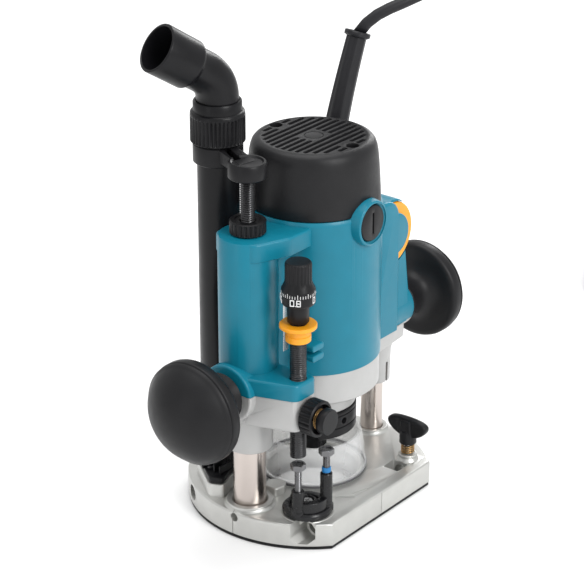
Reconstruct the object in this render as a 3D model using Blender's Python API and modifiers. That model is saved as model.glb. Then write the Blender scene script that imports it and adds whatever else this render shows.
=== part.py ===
"""Compact plunge router: a motor head on two columns over a D-shaped base, in metres, +Z up.

Every size below is in millimetres, in a frame with the spindle as Z, the sole at z = 0, the
operator's right handle along +X and the operator on the -Y side. SHIFT moves the finished
object so that the origin is the bottom centre of its box.
"""

import math

import bmesh
import bpy
from mathutils import Matrix, Vector

MM = 0.001
SHIFT = Vector((0.0, -7.65, 0.0))  # from the spindle frame to the frame of the object

# Base
BASE_R, BASE_X, EDGE_Y = 83.5, -3.5, -62.3
SOLE_T, CASTING_Z, BASE_TOP = 2.0, 2.3, 18.5
COLUMN_X = 68.5
LEFT_COLUMN_R, RIGHT_COLUMN_R = 11.0, 7.8
LEFT_COLUMN_TOP, RIGHT_COLUMN_TOP = 168.0, 140.0
BIT_OPENING_R, SOLE_OPENING_R = 31.0, 28.0
GUIDE_Y, GUIDE_Z, GUIDE_R = 47.2, 11.0, 5.3
CLAMP = (46.7, -47.3)
STOPPER = (-54.5, -37.5)
STOPPER_R, BOLT_CIRCLE = 16.6, 12.6
SHORT_ANGLE, TALL_ANGLE, LOW_ANGLE = 189.0, 308.0, 69.0
PAD_TOP = 27.7
FOOT_SCREW = (-66.6, 34.6)

# Dust tube and the threaded rod beside it
TUBE = (-51.0, 38.4)
TUBE_R, TUBE_BORE = 13.75, 11.9
TUBE_BOTTOM, TUBE_TOP = 50.4, 273.5
COLLAR_Z = (262.3, 283.0, 290.0)
BEND_Z, BEND_R, MOUTH_LENGTH = 303.5, 22.0, 50.3
MOUTH_WAY = Vector((-0.775, 0.32, 0.546)).normalized()
ROD_R = 4.85
NUT_ON_ROD_Z = (215.6, 224.8)
ARM_Z = (251.5, 262.2)
CUP_TOP, CUP_R = 47.0, 36.5

# Head
BARREL_R, CAVITY_R = 45.5, 41.5
BARREL_SPLIT, LEFT_SPLIT, RIGHT_SPLIT = 107.5, 110.5, 100.0
SPLIT_GAP = 0.3
HOUSING_TOP, TOWER_TOP = 215.7, 213.5
TOWER_R, LEFT_BOSS_R, RIGHT_BOSS_R = 19.6, 15.6, 12.5
LEFT_BOSS_Z, RIGHT_BOSS_Z = 62.0, 58.6
HANDLE_Z, HANDLE_BOSS_R = 108.0, 20.0
KNOB_RIM_X, KNOB_RIM_R, KNOB_DOME = 127.0, 35.0, 22.0
POLE = (-67.0, -39.5)
POLE_R = 5.35
SHELF_Z, SHELF_BOTTOM = 122.0, 88.0
NUT_Z = 98.0
DIAL = (68.0, 172.0)
DIAL_R = 22.5
CAP_TOP, CAP_BOTTOM = 260.0, 216.0
BRUSH_Z = 210.0
GUARD_BASE = Vector((48.0, 25.0, 204.0))
GUARD_TOP = Vector((74.0, 21.0, 303.0))

# Power cord
CORD_R = 4.0
COIL_CENTRE, COIL_R = (443.0, -10.0), 46.0
COIL_HEIGHT, COIL_WIDTH = 50.6, 9.0
PLUG_R = 14.2

PALETTE = {
    "cast_aluminium": ((0.62, 0.62, 0.60), 0.85, 0.38),
    "machined_aluminium": ((0.70, 0.70, 0.68), 1.0, 0.28),
    "chromed_steel": ((0.66, 0.62, 0.59), 1.0, 0.14),
    "bright_steel": ((0.60, 0.60, 0.60), 1.0, 0.25),
    "black_steel": ((0.03, 0.03, 0.032), 0.6, 0.42),
    "teal_plastic": ((0.022, 0.235, 0.335), 0.0, 0.36),
    "black_plastic": ((0.022, 0.022, 0.024), 0.0, 0.45),
    "dark_plastic": ((0.045, 0.045, 0.048), 0.0, 0.40),
    "orange_plastic": ((1.0, 0.42, 0.015), 0.0, 0.38),
    "clear_plastic": ((0.85, 0.87, 0.88), 0.0, 0.08),
    "rubber": ((0.03, 0.03, 0.032), 0.0, 0.62),
    "copper": ((0.72, 0.32, 0.17), 1.0, 0.30),
    "carbon": ((0.03, 0.03, 0.03), 0.1, 0.75),
    "lamination": ((0.28, 0.28, 0.29), 0.9, 0.45),
    "brass": ((0.70, 0.50, 0.20), 1.0, 0.28),
}


# ---------------------------------------------------------------- scene and materials


def clear_scene():
    for thing in list(bpy.data.objects):
        bpy.data.objects.remove(thing, do_unlink=True)
    for group in list(bpy.data.collections):
        bpy.data.collections.remove(group)


def new_collection(name):
    group = bpy.data.collections.new(name)
    bpy.context.scene.collection.children.link(group)
    return group


def material(key):
    found = bpy.data.materials.get(key)
    if found:
        return found
    colour, metallic, roughness = PALETTE[key]
    made = bpy.data.materials.new(key)
    made.use_nodes = True
    shader = made.node_tree.nodes["Principled BSDF"]
    shader.inputs["Base Color"].default_value = (*colour, 1.0)
    shader.inputs["Metallic"].default_value = metallic
    shader.inputs["Roughness"].default_value = roughness
    if key == "clear_plastic":
        shader.inputs["Transmission Weight"].default_value = 0.9
    return made


def object_from(name, mesh_builder, origin=(0.0, 0.0, 0.0)):
    """An object in the parts collection, its mesh given in millimetres and its origin at a point."""
    at = Vector(origin)
    bmesh.ops.translate(mesh_builder, vec=-at, verts=mesh_builder.verts)
    bmesh.ops.scale(mesh_builder, vec=(MM, MM, MM), verts=mesh_builder.verts)
    bmesh.ops.recalc_face_normals(mesh_builder, faces=mesh_builder.faces)
    mesh = bpy.data.meshes.new(name)
    mesh_builder.to_mesh(mesh)
    mesh_builder.free()
    made = bpy.data.objects.new(name, mesh)
    made.location = (at + SHIFT) * MM
    PARTS.objects.link(made)
    return made


# ---------------------------------------------------------------- solids


def turning(axis, at):
    """The matrix that takes a shape turned about +Z to one turned about another axis and point."""
    turns = {
        "Z": Matrix.Identity(4),
        "X": Matrix.Rotation(math.radians(90), 4, "Y"),
        "Y": Matrix.Rotation(math.radians(-90), 4, "X"),
        "-X": Matrix.Rotation(math.radians(-90), 4, "Y"),
        "-Y": Matrix.Rotation(math.radians(90), 4, "X"),
    }
    return Matrix.Translation(Vector(at)) @ turns[axis]


def turned_mesh(profile, at=(0, 0, 0), axis="Z", steps=32, closed=False, phase=0.0):
    """A closed solid from (radius, height) points. An open profile starts and ends on the axis."""
    built = bmesh.new()
    place = turning(axis, at)
    rings = []
    for radius, height in profile:
        count = 1 if radius < 1e-6 else steps
        ring = []
        for i in range(count):
            a = phase + 2 * math.pi * i / steps
            point = place @ Vector((radius * math.cos(a), radius * math.sin(a), height))
            ring.append(built.verts.new(point))
        rings.append(ring)
    pairs = list(zip(rings, rings[1:]))
    if closed:
        pairs.append((rings[-1], rings[0]))
    for low, high in pairs:
        for i in range(steps):
            j = (i + 1) % steps
            corners = [low[i % len(low)], low[j % len(low)], high[j % len(high)], high[i % len(high)]]
            distinct = list(dict.fromkeys(corners))
            if len(distinct) > 2:
                built.faces.new(distinct)
    return built


def turned(name, profile, at=(0, 0, 0), axis="Z", steps=24, closed=False, origin=None, phase=0.0):
    return object_from(name, turned_mesh(profile, at, axis, steps, closed, phase), origin or at)


def rod(name, radius, low, high, at=(0, 0, 0), axis="Z", steps=22, origin=None, phase=0.07):
    """A plain cylinder between two heights along its axis.

    Its corners are turned a little, so that they don't line up with those of what it cuts or joins.
    """
    profile = [(0, low), (radius, low), (radius, high), (0, high)]
    return turned(name, profile, at, axis, steps, origin=origin, phase=phase)


def ring(name, outer, inner, low, high, at=(0, 0, 0), axis="Z", steps=24, origin=None):
    profile = [(inner, low), (outer, low), (outer, high), (inner, high)]
    return turned(name, profile, at, axis, steps, closed=True, origin=origin)


def prism(name, outline, low, high, axis="Z", origin=(0, 0, 0)):
    """An outline of (x, y) points pulled along Z, or of (x, z) points pulled along Y."""
    built = bmesh.new()
    if axis == "Z":
        verts = [built.verts.new((x, y, low)) for x, y in outline]
        pull = (0, 0, high - low)
    else:
        verts = [built.verts.new((x, low, z)) for x, z in outline]
        pull = (0, high - low, 0)
    face = built.faces.new(verts)
    extruded = bmesh.ops.extrude_face_region(built, geom=[face])
    moved = [item for item in extruded["geom"] if isinstance(item, bmesh.types.BMVert)]
    bmesh.ops.translate(built, vec=pull, verts=moved)
    return object_from(name, built, origin)


def block(name, low, high, origin=None):
    outline = [(low[0], low[1]), (high[0], low[1]), (high[0], high[1]), (low[0], high[1])]
    middle = [(a + b) / 2 for a, b in zip(low, high)]
    return prism(name, outline, low[2], high[2], origin=origin or middle)


def rounded(corners, steps=5):
    """An outline with arcs in place of its corners. A corner is (x, y, radius)."""
    outline = []
    for i, (x, y, radius) in enumerate(corners):
        here = Vector((x, y))
        before = Vector(corners[i - 1][:2])
        after = Vector(corners[(i + 1) % len(corners)][:2])
        if radius <= 0:
            outline.append((x, y))
            continue
        to_before = (before - here).normalized()
        to_after = (after - here).normalized()
        half = to_before.angle(to_after) / 2
        reach = radius / math.tan(half)
        centre = here + (to_before + to_after).normalized() * (radius / math.sin(half))
        start = here + to_before * reach - centre
        end = here + to_after * reach - centre
        sweep = start.angle_signed(end)
        for k in range(steps + 1):
            spoke = start.copy()
            spoke.rotate(Matrix.Rotation(-sweep * k / steps, 2))
            outline.append(tuple(centre + spoke))
    return outline


def swept(name, path, outer, inner=None, steps=20, origin=(0, 0, 0)):
    """A round bar along a path or, with an inner radius at each point, a pipe."""
    built = bmesh.new()
    points = [Vector(p) for p in path]
    ways = []
    for i in range(len(points)):
        ways.append((points[min(i + 1, len(points) - 1)] - points[max(i - 1, 0)]).normalized())
    side = ways[0].orthogonal().normalized()
    frames = []
    for point, way in zip(points, ways):
        side = (side - way * side.dot(way)).normalized()
        frames.append((point, side, way.cross(side)))

    def loop_at(frame, radius):
        point, across, up = frame
        made = []
        for k in range(steps):
            a = 2 * math.pi * k / steps
            made.append(built.verts.new(point + (across * math.cos(a) + up * math.sin(a)) * radius))
        return made

    loops = [loop_at(frame, r) for frame, r in zip(frames, outer)]
    if inner:
        loops += [loop_at(frame, r) for frame, r in zip(reversed(frames), reversed(inner))]
    pairs = list(zip(loops, loops[1:]))
    if inner:
        pairs.append((loops[-1], loops[0]))
    for low, high in pairs:
        for k in range(steps):
            built.faces.new([low[k], low[(k + 1) % steps], high[(k + 1) % steps], high[k]])
    if not inner:
        built.faces.new(loops[0])
        built.faces.new(loops[-1])
    return object_from(name, built, origin)


def helix(name, at, radius, wire, low, high, turns, per_turn=12, origin=None):
    count = int(turns * per_turn)
    path = []
    for i in range(count + 1):
        a = 2 * math.pi * i / per_turn
        z = low + wire + (high - low - 2 * wire) * i / count
        path.append((at[0] + radius * math.cos(a), at[1] + radius * math.sin(a), z))
    return swept(name, path, [wire] * len(path), steps=5, origin=origin or (at[0], at[1], low))


# ---------------------------------------------------------------- joining and cutting


def as_cutter(tool):
    PARTS.objects.unlink(tool)
    CUTTERS.objects.link(tool)
    tool.hide_render = True
    tool.display_type = "WIRE"


def combine(body, tools, operation):
    for tool in tools:
        step = body.modifiers.new(operation.lower() + "_" + tool.name, "BOOLEAN")
        step.operation = operation
        step.solver = "EXACT"
        step.object = tool
        as_cutter(tool)
    return body


def join(body, *tools):
    return combine(body, tools, "UNION")


def cut(body, *tools):
    return combine(body, tools, "DIFFERENCE")


def bevel(body, width, angle=35, segments=1):
    step = body.modifiers.new("bevel", "BEVEL")
    step.width = width * MM
    step.segments = segments
    step.limit_method = "ANGLE"
    step.angle_limit = math.radians(angle)
    return body


def finish(body, key):
    body.data.materials.clear()
    body.data.materials.append(material(key))
    return body


def around(centre, radius, degrees):
    a = math.radians(degrees)
    return (centre[0] + radius * math.cos(a), centre[1] + radius * math.sin(a))


# ---------------------------------------------------------------- base


def base_outline(inset=0.0, steps=38):
    """The arc of the base, closed by its straight front edge."""
    radius = BASE_R - inset
    edge = EDGE_Y + inset
    start = math.asin(edge / radius)
    sweep = math.pi - 2 * start
    outline = []
    for i in range(steps + 1):
        a = start + sweep * i / steps
        outline.append((BASE_X + radius * math.cos(a), radius * math.sin(a)))
    return outline


def foot_outline(inset=0.0):
    corners = [(-58, 56, 5), (-80, 27, 6), (-75, 17, 4), (-62, 22, 3), (-47, 24, 4), (-38, 46, 5)]
    middle = Vector((-60.0, 35.0))
    moved = []
    for x, y, radius in corners:
        way = (middle - Vector((x, y))).normalized() * inset
        moved.append((x + way.x, y + way.y, radius))
    return rounded(moved, 3)


def make_base_casting():
    body = bevel(prism("base_casting", base_outline(), CASTING_Z, BASE_TOP), 1.2, 60)
    join(
        body,
        rod("left_collar", 16.0, 10, 21.6, (-COLUMN_X, 0, 0)),
        rod("right_collar", 11.4, 10, 21.2, (COLUMN_X, 0, 0)),
        prism("foot_pad", foot_outline(1.0), 10, PAD_TOP),
        rod("clamp_boss", 6.4, 10, 23.0, (*CLAMP, 0), steps=24),
        block("guard_lug", (-51, -10, 10), (-40, 2, 25)),
    )
    octagon = rod("octagon_cut", 7.4, -95, -58, (0, -GUIDE_Y, GUIDE_Z), "X", 8, phase=math.pi / 8)
    cut(
        body,
        rod("bit_opening", BIT_OPENING_R, -5, 40),
        rod("front_channel", GUIDE_R, -100, 100, (0, -GUIDE_Y, GUIDE_Z), "X", 20),
        rod("rear_channel", GUIDE_R, -100, 100, (0, GUIDE_Y, GUIDE_Z), "X", 20),
        octagon,
        rod("left_socket", LEFT_COLUMN_R + 0.3, 4.5, 40, (-COLUMN_X, 0, 0), steps=22, phase=0.03),
        rod("right_socket", RIGHT_COLUMN_R + 0.3, 4.5, 40, (COLUMN_X, 0, 0), steps=22, phase=0.03),
        block("rod_window", (26.5, -53.4, 7.0), (39, -41, 30)),
        rod("clamp_hole", 2.5, 8, 40, (*CLAMP, 0), steps=16),
        rod("pivot_hole", 2.3, 6.5, 40, (*STOPPER, 0), steps=16),
        rod("foot_screw_hole", 2.2, 17, 40, (*FOOT_SCREW, 0), steps=16),
    )
    for i, degrees in enumerate((30, 150)):
        x, y = around((0, 0), 68, degrees)
        cut(body, rod(f"sole_thread_{i}", 1.9, -2, 12, (x, y, 0), steps=16))
    finish(body, "cast_aluminium")


def make_sole():
    body = prism("sole_plate", base_outline(0.5), 0, SOLE_T)
    cut(body, rod("sole_opening", SOLE_OPENING_R, -5, 10))
    for i, degrees in enumerate((30, 150)):
        x, y = around((0, 0), 68, degrees)
        sink = [(0, -1), (5.2, -1), (2.3, 1.9), (2.3, 4), (0, 4)]
        cut(body, turned(f"sole_sink_{i}", sink, (x, y, 0), steps=20))
        screw = [(0, 0.3), (3.6, 0.3), (1.6, 2.3), (1.6, 10.5), (0, 10.5)]
        finish(turned(f"sole_screw_{i + 1}", screw, (x, y, 0), steps=20), "bright_steel")
    finish(body, "black_plastic")


def make_columns():
    top = LEFT_COLUMN_TOP
    bore = [(7.6, 4.9), (LEFT_COLUMN_R, 4.9), (LEFT_COLUMN_R, top), (ROD_R + 0.3, top)]
    bore += [(ROD_R + 0.3, top - 24), (7.6, top - 24)]
    finish(turned("left_column", bore, (-COLUMN_X, 0, 0), steps=28, closed=True), "chromed_steel")
    tube = ring("right_column", RIGHT_COLUMN_R, 5.4, 4.9, RIGHT_COLUMN_TOP, (COLUMN_X, 0, 0), steps=24)
    finish(tube, "chromed_steel")
    spring = helix("return_spring", (COLUMN_X, 0), 4.3, 0.6, 8, 118, 9, 8)
    finish(spring, "bright_steel")
    thread = rod("threaded_rod", ROD_R, LEFT_COLUMN_TOP - 40, 257, (-COLUMN_X, 0, 0), steps=24)
    finish(thread, "black_steel")


def make_dust_path():
    """The foot on the base, the tube, the arm that ties it to the rod, the cup round the cutter."""
    inward = Vector((-TUBE[0], -TUBE[1], 0)).normalized()
    across = Vector((-inward.y, inward.x, 0))

    def duct(name, half_width, low, high, near, far):
        start = Vector((*TUBE, 0)) + inward * near
        end = Vector((*TUBE, 0)) + inward * far
        outline = [start - across * half_width, end - across * half_width]
        outline += [end + across * half_width, start + across * half_width]
        return prism(name, [tuple(p[:2]) for p in outline], low, high)

    reach = Vector(TUBE).length - CUP_R - 1.2
    foot = prism("dust_foot", foot_outline(1.0), PAD_TOP + 0.3, PAD_TOP + 4.3)
    at = (*TUBE, 0)
    join(
        foot,
        rod("foot_socket", 11.8, PAD_TOP + 2, TUBE_BOTTOM - 0.3, at),
        rod("foot_spigot", TUBE_BORE - 0.4, 40, TUBE_BOTTOM + 8, at),
        duct("foot_duct", 10, PAD_TOP + 0.3, 43, 0, reach),
    )
    cut(
        foot,
        rod("foot_bore", 8.6, PAD_TOP + 2.8, 80, at),
        duct("foot_duct_bore", 7, PAD_TOP + 2.8, 41, 0, reach + 5),
        rod("foot_hole", 2.2, 20, 60, (*FOOT_SCREW, 0), steps=16),
    )
    finish(foot, "black_plastic")
    screw = [(0, 18), (1.9, 18), (1.9, 32.3), (3.3, 32.3), (3.3, 34.4), (0, 34.4)]
    finish(turned("foot_screw", screw, (*FOOT_SCREW, 0), steps=20), "bright_steel")
    finish(ring("dust_tube", TUBE_R, TUBE_BORE, TUBE_BOTTOM, TUBE_TOP, at, steps=28), "black_plastic")

    arm = rod("tube_arm", 12.5, *ARM_Z, (-COLUMN_X, 0, 0), steps=26)
    beam = [(-74.5, 0), (-62.5, 0), (-45, 38), (-57, 38)]
    join(
        arm,
        prism("arm_beam", beam, ARM_Z[0] + 1.2, ARM_Z[1] - 1.2),
        rod("arm_clamp", 16.4, ARM_Z[0] - 3, ARM_Z[1] - 0.4, at, steps=28),
    )
    cut(
        arm,
        rod("arm_clamp_bore", TUBE_R + 0.3, 200, 300, at, steps=26),
        rod("arm_rod_bore", ROD_R + 0.3, 200, 257.3, (-COLUMN_X, 0, 0), steps=24),
    )
    finish(arm, "black_plastic")

    outside = [(CUP_R + 0.6, BASE_TOP + 0.3), (CUP_R + 0.6, 22.5), (CUP_R - 0.4, 23)]
    outside += [(CUP_R - 1, 35), (33, CUP_TOP)]
    inside = [(31.2, CUP_TOP), (CUP_R - 3, 35), (CUP_R - 3, BASE_TOP + 0.3)]
    cup = turned("clear_guard", outside + inside, steps=32, closed=True)
    cut(cup, duct("cup_port", 7, PAD_TOP + 2.8, 41, 15, 45))
    finish(cup, "clear_plastic")


def make_nozzle():
    at = (*TUBE, 0)
    low, middle, high = COLLAR_Z
    inner = TUBE_R + 0.45
    profile = [(inner, low), (17.7, low), (17.7, middle)]
    profile += [(15.8, middle + 0.5), (15.8, high), (inner, high)]
    collar = turned("nozzle_collar", profile, at, steps=28, closed=True)
    finish(collar, "black_plastic")

    corner = Vector((*TUBE, BEND_Z))
    up = Vector((0, 0, 1))
    angle = up.angle(MOUTH_WAY)
    reach = BEND_R * math.tan(angle / 2)
    side = (MOUTH_WAY - up * up.dot(MOUTH_WAY)).normalized()
    centre = corner - up * reach + side * BEND_R
    path = [Vector((*TUBE, TUBE_TOP + 1.5)), corner - up * reach]
    for i in range(1, 6):
        a = angle * i / 6
        path.append(centre - side * BEND_R * math.cos(a) + up * BEND_R * math.sin(a))
    path.append(corner + MOUTH_WAY * reach)
    outer = [TUBE_R + 0.15] * len(path)
    bore = [TUBE_BORE] * len(path)
    for distance, r_out, r_in in ((21.5, 13.9, 11.9), (23.0, 16.3, 12.2), (MOUTH_LENGTH, 16.6, 14.6)):
        path.append(corner + MOUTH_WAY * distance)
        outer.append(r_out)
        bore.append(r_in)
    elbow = swept("nozzle_elbow", path, outer, bore, 20, origin=(*TUBE, TUBE_TOP + 1.5))
    finish(elbow, "black_plastic")


def make_stopper():
    body = rod("stopper_block", STOPPER_R, BASE_TOP + 0.3, 23.5, (*STOPPER, 0), steps=28)
    heights = {"short": (SHORT_ANGLE, 40.0, 60.0), "tall": (TALL_ANGLE, 47.5, 65.3)}
    for name, (degrees, post_top, bolt_top) in heights.items():
        x, y = around(STOPPER, BOLT_CIRCLE, degrees)
        join(body, rod(name + "_post", 4.1, 20, post_top, (x, y, 0), steps=16))
        cut(body, rod(name + "_thread", 2.7, 26, 80, (x, y, 0), steps=12))
        bolt = rod(f"{name}_stop_bolt", 2.4, 27, bolt_top - 2, (x, y, 0), steps=12)
        join(bolt, rod(name + "_hexagon", 5.2, bolt_top - 4, bolt_top, (x, y, 0), steps=6, phase=0.0))
        finish(bolt, "black_steel")
    x, y = around(STOPPER, BOLT_CIRCLE, LOW_ANGLE)
    join(body, rod("low_post", 4.1, 20, 28, (x, y, 0), steps=16))
    cut(body, rod("pivot_bore", 2.4, 10, 40, (*STOPPER, 0), steps=16))
    finish(body, "black_steel")
    pivot = [(0, 8), (2.0, 8), (2.0, 23.8), (4.4, 23.8), (4.4, 26.4), (0, 26.4)]
    finish(turned("stopper_pivot", pivot, (*STOPPER, 0), steps=20), "bright_steel")


def make_guide_clamp():
    shank = [(0, 16.6), (2.2, 16.6), (2.2, 31), (5.9, 31), (5.9, 40), (0, 40)]
    body = turned("guide_clamp_screw", shank, (*CLAMP, 0), steps=24)
    wing = []
    for i in range(20):
        a = 2 * math.pi * i / 20
        wing.append((16.0 * math.cos(a), 44.0 + 7.2 * math.sin(a)))
    built = bmesh.new()
    verts = [built.verts.new((CLAMP[0] - 3, CLAMP[1] + y, z)) for y, z in wing]
    face = built.faces.new(verts)
    pulled = bmesh.ops.extrude_face_region(built, geom=[face])
    moved = [item for item in pulled["geom"] if isinstance(item, bmesh.types.BMVert)]
    bmesh.ops.translate(built, vec=(6, 0, 0), verts=moved)
    join(body, object_from("clamp_wing", built))
    finish(body, "black_plastic")
    finish(helix("clamp_spring", CLAMP, 4.3, 0.6, 23.3, 30.7, 4), "brass")


def make_limit_nut():
    low, high = NUT_ON_ROD_Z
    body = ring("limit_nut", 11.9, ROD_R + 0.35, low, high, (-COLUMN_X, 0, 0), steps=26)
    finish(body, "black_plastic")


# ---------------------------------------------------------------- head


def shelf_outline(inset=0.0):
    d = inset
    corners = [(-89 + d, -14, 3), (-78 + d, -47.3 + d, 5), (-56.6 - d, -47.3 + d, 5)]
    corners += [(-56.6 - d, -8, 0), (-80, 4, 0)]
    return rounded(corners, 4)


def below(name, x_low, x_high, z):
    """A slab that takes away everything under a height, between two places along X."""
    return block(name, (x_low, -120, -50), (x_high, 120, z))


def above(name, x_low, x_high, z):
    return block(name, (x_low, -120, z), (x_high, 120, 300))


def handle_boss(name, sign, radius, reach):
    axis = "X" if sign > 0 else "-X"
    return rod(name, radius, 60, reach, (0, 0, HANDLE_Z), axis, 32)


def right_rear_outline():
    """Side view of the right grip housing behind its front panel: rounded over the speed dial."""
    x, z = DIAL
    outline = [(35, 96), (87.5, 96), (88.5, 112)]
    for degrees in (-25, -10, 10, 30, 50, 70, 90):
        a = math.radians(degrees)
        outline.append((x + 20.5 * math.cos(a), z + (DIAL_R + 2.5) * math.sin(a)))
    outline.append((35, 197.5))
    return outline


def housing_shape():
    z_left = LEFT_SPLIT + SPLIT_GAP
    body = rod("motor_housing", BARREL_R, BARREL_SPLIT - 4, HOUSING_TOP, steps=44)
    roof = [(-80, -18, 6), (-52, -26.5, 4), (-30, -26.5, 0), (-30, 19, 0), (-80, 19, 3)]
    front = [(36, 95, 0), (71.5, 95, 0), (71.5, 199.0, 18), (36, 199.0, 0)]
    join(
        body,
        rod("tower", TOWER_R, z_left - 3, TOWER_TOP, (-COLUMN_X, 0, 0), steps=36),
        prism("tower_roof", rounded(roof, 4), 201, TOWER_TOP - 0.4),
        block("tower_web", (-72, -13, z_left - 2), (-30, 18.6, TOWER_TOP - 0.8)),
        prism("shelf", shelf_outline(), z_left - 1, SHELF_Z),
        handle_boss("left_boss_upper", -1, HANDLE_BOSS_R, 92),
        prism("right_panel", rounded(front, 6), -20, 6, "Y"),
        prism("right_rear", right_rear_outline(), -16, 20.6, "Y"),
        handle_boss("right_boss_upper", 1, 17.0, 95),
        rod("front_brush_boss", 15, 27, 49.0, (0, 0, BRUSH_Z), "-Y"),
        rod("rear_brush_boss", 15, 27, 49.0, (0, 0, BRUSH_Z), "Y"),
        rod("cord_boss", 12.6, 190, 215.2, (GUARD_BASE.x, GUARD_BASE.y, 0)),
    )
    return body


def make_motor_housing():
    body = housing_shape()
    dial_x, dial_z = DIAL
    wide = LEFT_COLUMN_R + 1.0
    narrow = ROD_R + 0.8
    tower_bore = [(0, 90), (wide, 90), (wide, 205.5), (narrow, 205.5), (narrow, 220), (0, 220)]
    brush_bore = [(0, -60), (12.6, -60), (12.6, -44.6), (5.3, -44.6)]
    brush_bore += [(5.3, 44.6), (12.6, 44.6), (12.6, 60), (0, 60)]
    cut(
        body,
        below("left_split", -130, -44.0, LEFT_SPLIT + SPLIT_GAP),
        below("right_split", 44.0, 130, RIGHT_SPLIT + SPLIT_GAP),
        below("barrel_split", -44.5, 44.5, BARREL_SPLIT + SPLIT_GAP),
        rod("motor_cavity", CAVITY_R, 90, 240, steps=44),
        turned("left_bore", tower_bore, (-COLUMN_X, 0, 0), steps=26, phase=0.07),
        rod("right_bore", RIGHT_COLUMN_R + 1.0, 90, 178, (COLUMN_X, 0, 0)),
        rod("pole_hole", POLE_R + 0.4, 90, 140, (*POLE, 0), steps=24),
        rod("dial_slot", DIAL_R + 0.7, 10.6, 16.4, (dial_x, 0, dial_z), "-Y", 32),
        rod("dial_hub_hole", 2.9, 16, 19.0, (dial_x, 0, dial_z), "-Y", 16),
        turned("brush_bore", brush_bore, (0, 0, BRUSH_Z), "Y", 24, phase=0.05),
        rod("front_cap_thread", 2.2, 214, 240, (0, -31.3, 0), steps=12),
        rod("rear_cap_thread", 2.2, 214, 240, (0, 31.3, 0), steps=12),
        rod("guard_socket", 10.2, 203, 230, (GUARD_BASE.x, GUARD_BASE.y, 0), steps=24),
        block("controller_pocket", (30, 9.6, 112), (58.4, 17.6, 150)),
        block("switch_pocket", (54.5, 9.9, 152), (65.5, 30, 172)),
        rod("left_stud_hole_upper", 4.4, 83, 100, (0, 0, HANDLE_Z), "-X", 20),
        rod("right_stud_hole_upper", 4.4, 84, 100, (0, 0, HANDLE_Z), "X", 20),
    )
    finish(body, "teal_plastic")


def bushed_bore(name, bore, seat, low, x):
    """A column's bore, wider where its bush sits."""
    high = low + 18.6
    profile = [(0, 50), (bore, 50), (bore, low), (seat, low)]
    profile += [(seat, high), (bore, high), (bore, 130), (0, 130)]
    return turned(name, profile, (x, 0, 0), steps=26, phase=0.07)


def make_head_casting():
    body = rod("head_casting", BARREL_R - 0.7, 85.5, BARREL_SPLIT + 5, steps=44)
    join(
        body,
        rod("neck", 29.5, 70, 90, steps=36),
        prism("shelf_block", shelf_outline(0.4), SHELF_BOTTOM, LEFT_SPLIT + 2),
        rod("left_sleeve", 20.0, 86.6, LEFT_SPLIT + 3, (-COLUMN_X, 0, 0), steps=36),
        rod("left_boss", LEFT_BOSS_R, LEFT_BOSS_Z, 100, (-COLUMN_X, 0, 0)),
        block("left_web", (-72, -14, 87.2), (-34, 19, LEFT_SPLIT + 4)),
        handle_boss("left_boss_lower", -1, HANDLE_BOSS_R, 92),
        block("right_web", (34, -17, 88.5), (86.5, 20, RIGHT_SPLIT + 2)),
        rod("right_boss", RIGHT_BOSS_R, RIGHT_BOSS_Z, 95, (COLUMN_X, 0, 0)),
        handle_boss("right_boss_lower", 1, 17.0, 95),
    )
    cut(
        body,
        above("left_top", -130, -44.0, LEFT_SPLIT),
        above("right_top", 44.0, 130, RIGHT_SPLIT),
        above("barrel_top", -44.5, 44.5, BARREL_SPLIT),
        rod("fan_room", 38.5, 98, 121, steps=36),
        rod("bearing_seat", 16.3, 91.7, 122, steps=28),
        rod("spindle_hole", 10.5, 60, 110, steps=24),
        bushed_bore("lower_left_bore", LEFT_COLUMN_R + 0.8, 13.4, 65.7, -COLUMN_X),
        bushed_bore("lower_right_bore", RIGHT_COLUMN_R + 0.8, 10.2, 61.7, COLUMN_X),
        rod("pole_channel", POLE_R + 0.4, 70, 130, (*POLE, 0), steps=24),
        rod("nut_thread", 3.4, 39.5, 60, (POLE[0], 0, NUT_Z), "-Y", 16),
        rod("left_stud_hole_lower", 4.4, 83, 100, (0, 0, HANDLE_Z), "-X", 20),
        rod("right_stud_hole_lower", 4.4, 84, 100, (0, 0, HANDLE_Z), "X", 20),
        block("lock_slot", (-5.4, -28.5, 60), (5.4, -16, 78.4)),
        rod("lock_bolt_hole", 4.3, 5, 30, (-COLUMN_X, 0, 95), "Y", 16),
    )
    finish(body, "cast_aluminium")


def make_motor_cap():
    outer = [(41.2, CAP_BOTTOM), (44.2, CAP_BOTTOM), (43.4, 238), (42.4, 250)]
    outer += [(40.6, 255.8), (36.6, 259.2), (33.5, CAP_TOP)]
    inner = [(39.4, 250), (36.5, 256.4), (14.4, 256.4), (14.4, 240)]
    inner += [(11.3, 240), (11.3, 256.4), (0, 256.4)]
    body = turned("motor_cap", [(0, CAP_TOP)] + outer[::-1] + inner, steps=40)
    cut(
        body,
        rod("front_cap_notch", 15.4, 30, 60, (0, 0, BRUSH_Z), "-Y"),
        rod("rear_cap_notch", 15.4, 30, 60, (0, 0, BRUSH_Z), "Y"),
        rod("front_screw_way", 3.7, 240, 270, (0, -31.3, 0), steps=16),
        rod("rear_screw_way", 3.7, 240, 270, (0, 31.3, 0), steps=16),
    )
    for y in (-23.0, -17.0, -5.6, 5.6, 17.0, 23.0):
        half = math.sqrt(33.0**2 - y**2)
        inner_end = 0.0 if abs(y) > 15 else 16.0
        spans = [(-half, half)] if inner_end == 0 else [(-half, -inner_end), (inner_end, half)]
        for i, (start, end) in enumerate(spans):
            cut(body, block(f"vent_{y}_{i}", (start, y - 1.7, 240), (end, y + 1.7, 270)))
    finish(body, "black_plastic")


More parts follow.
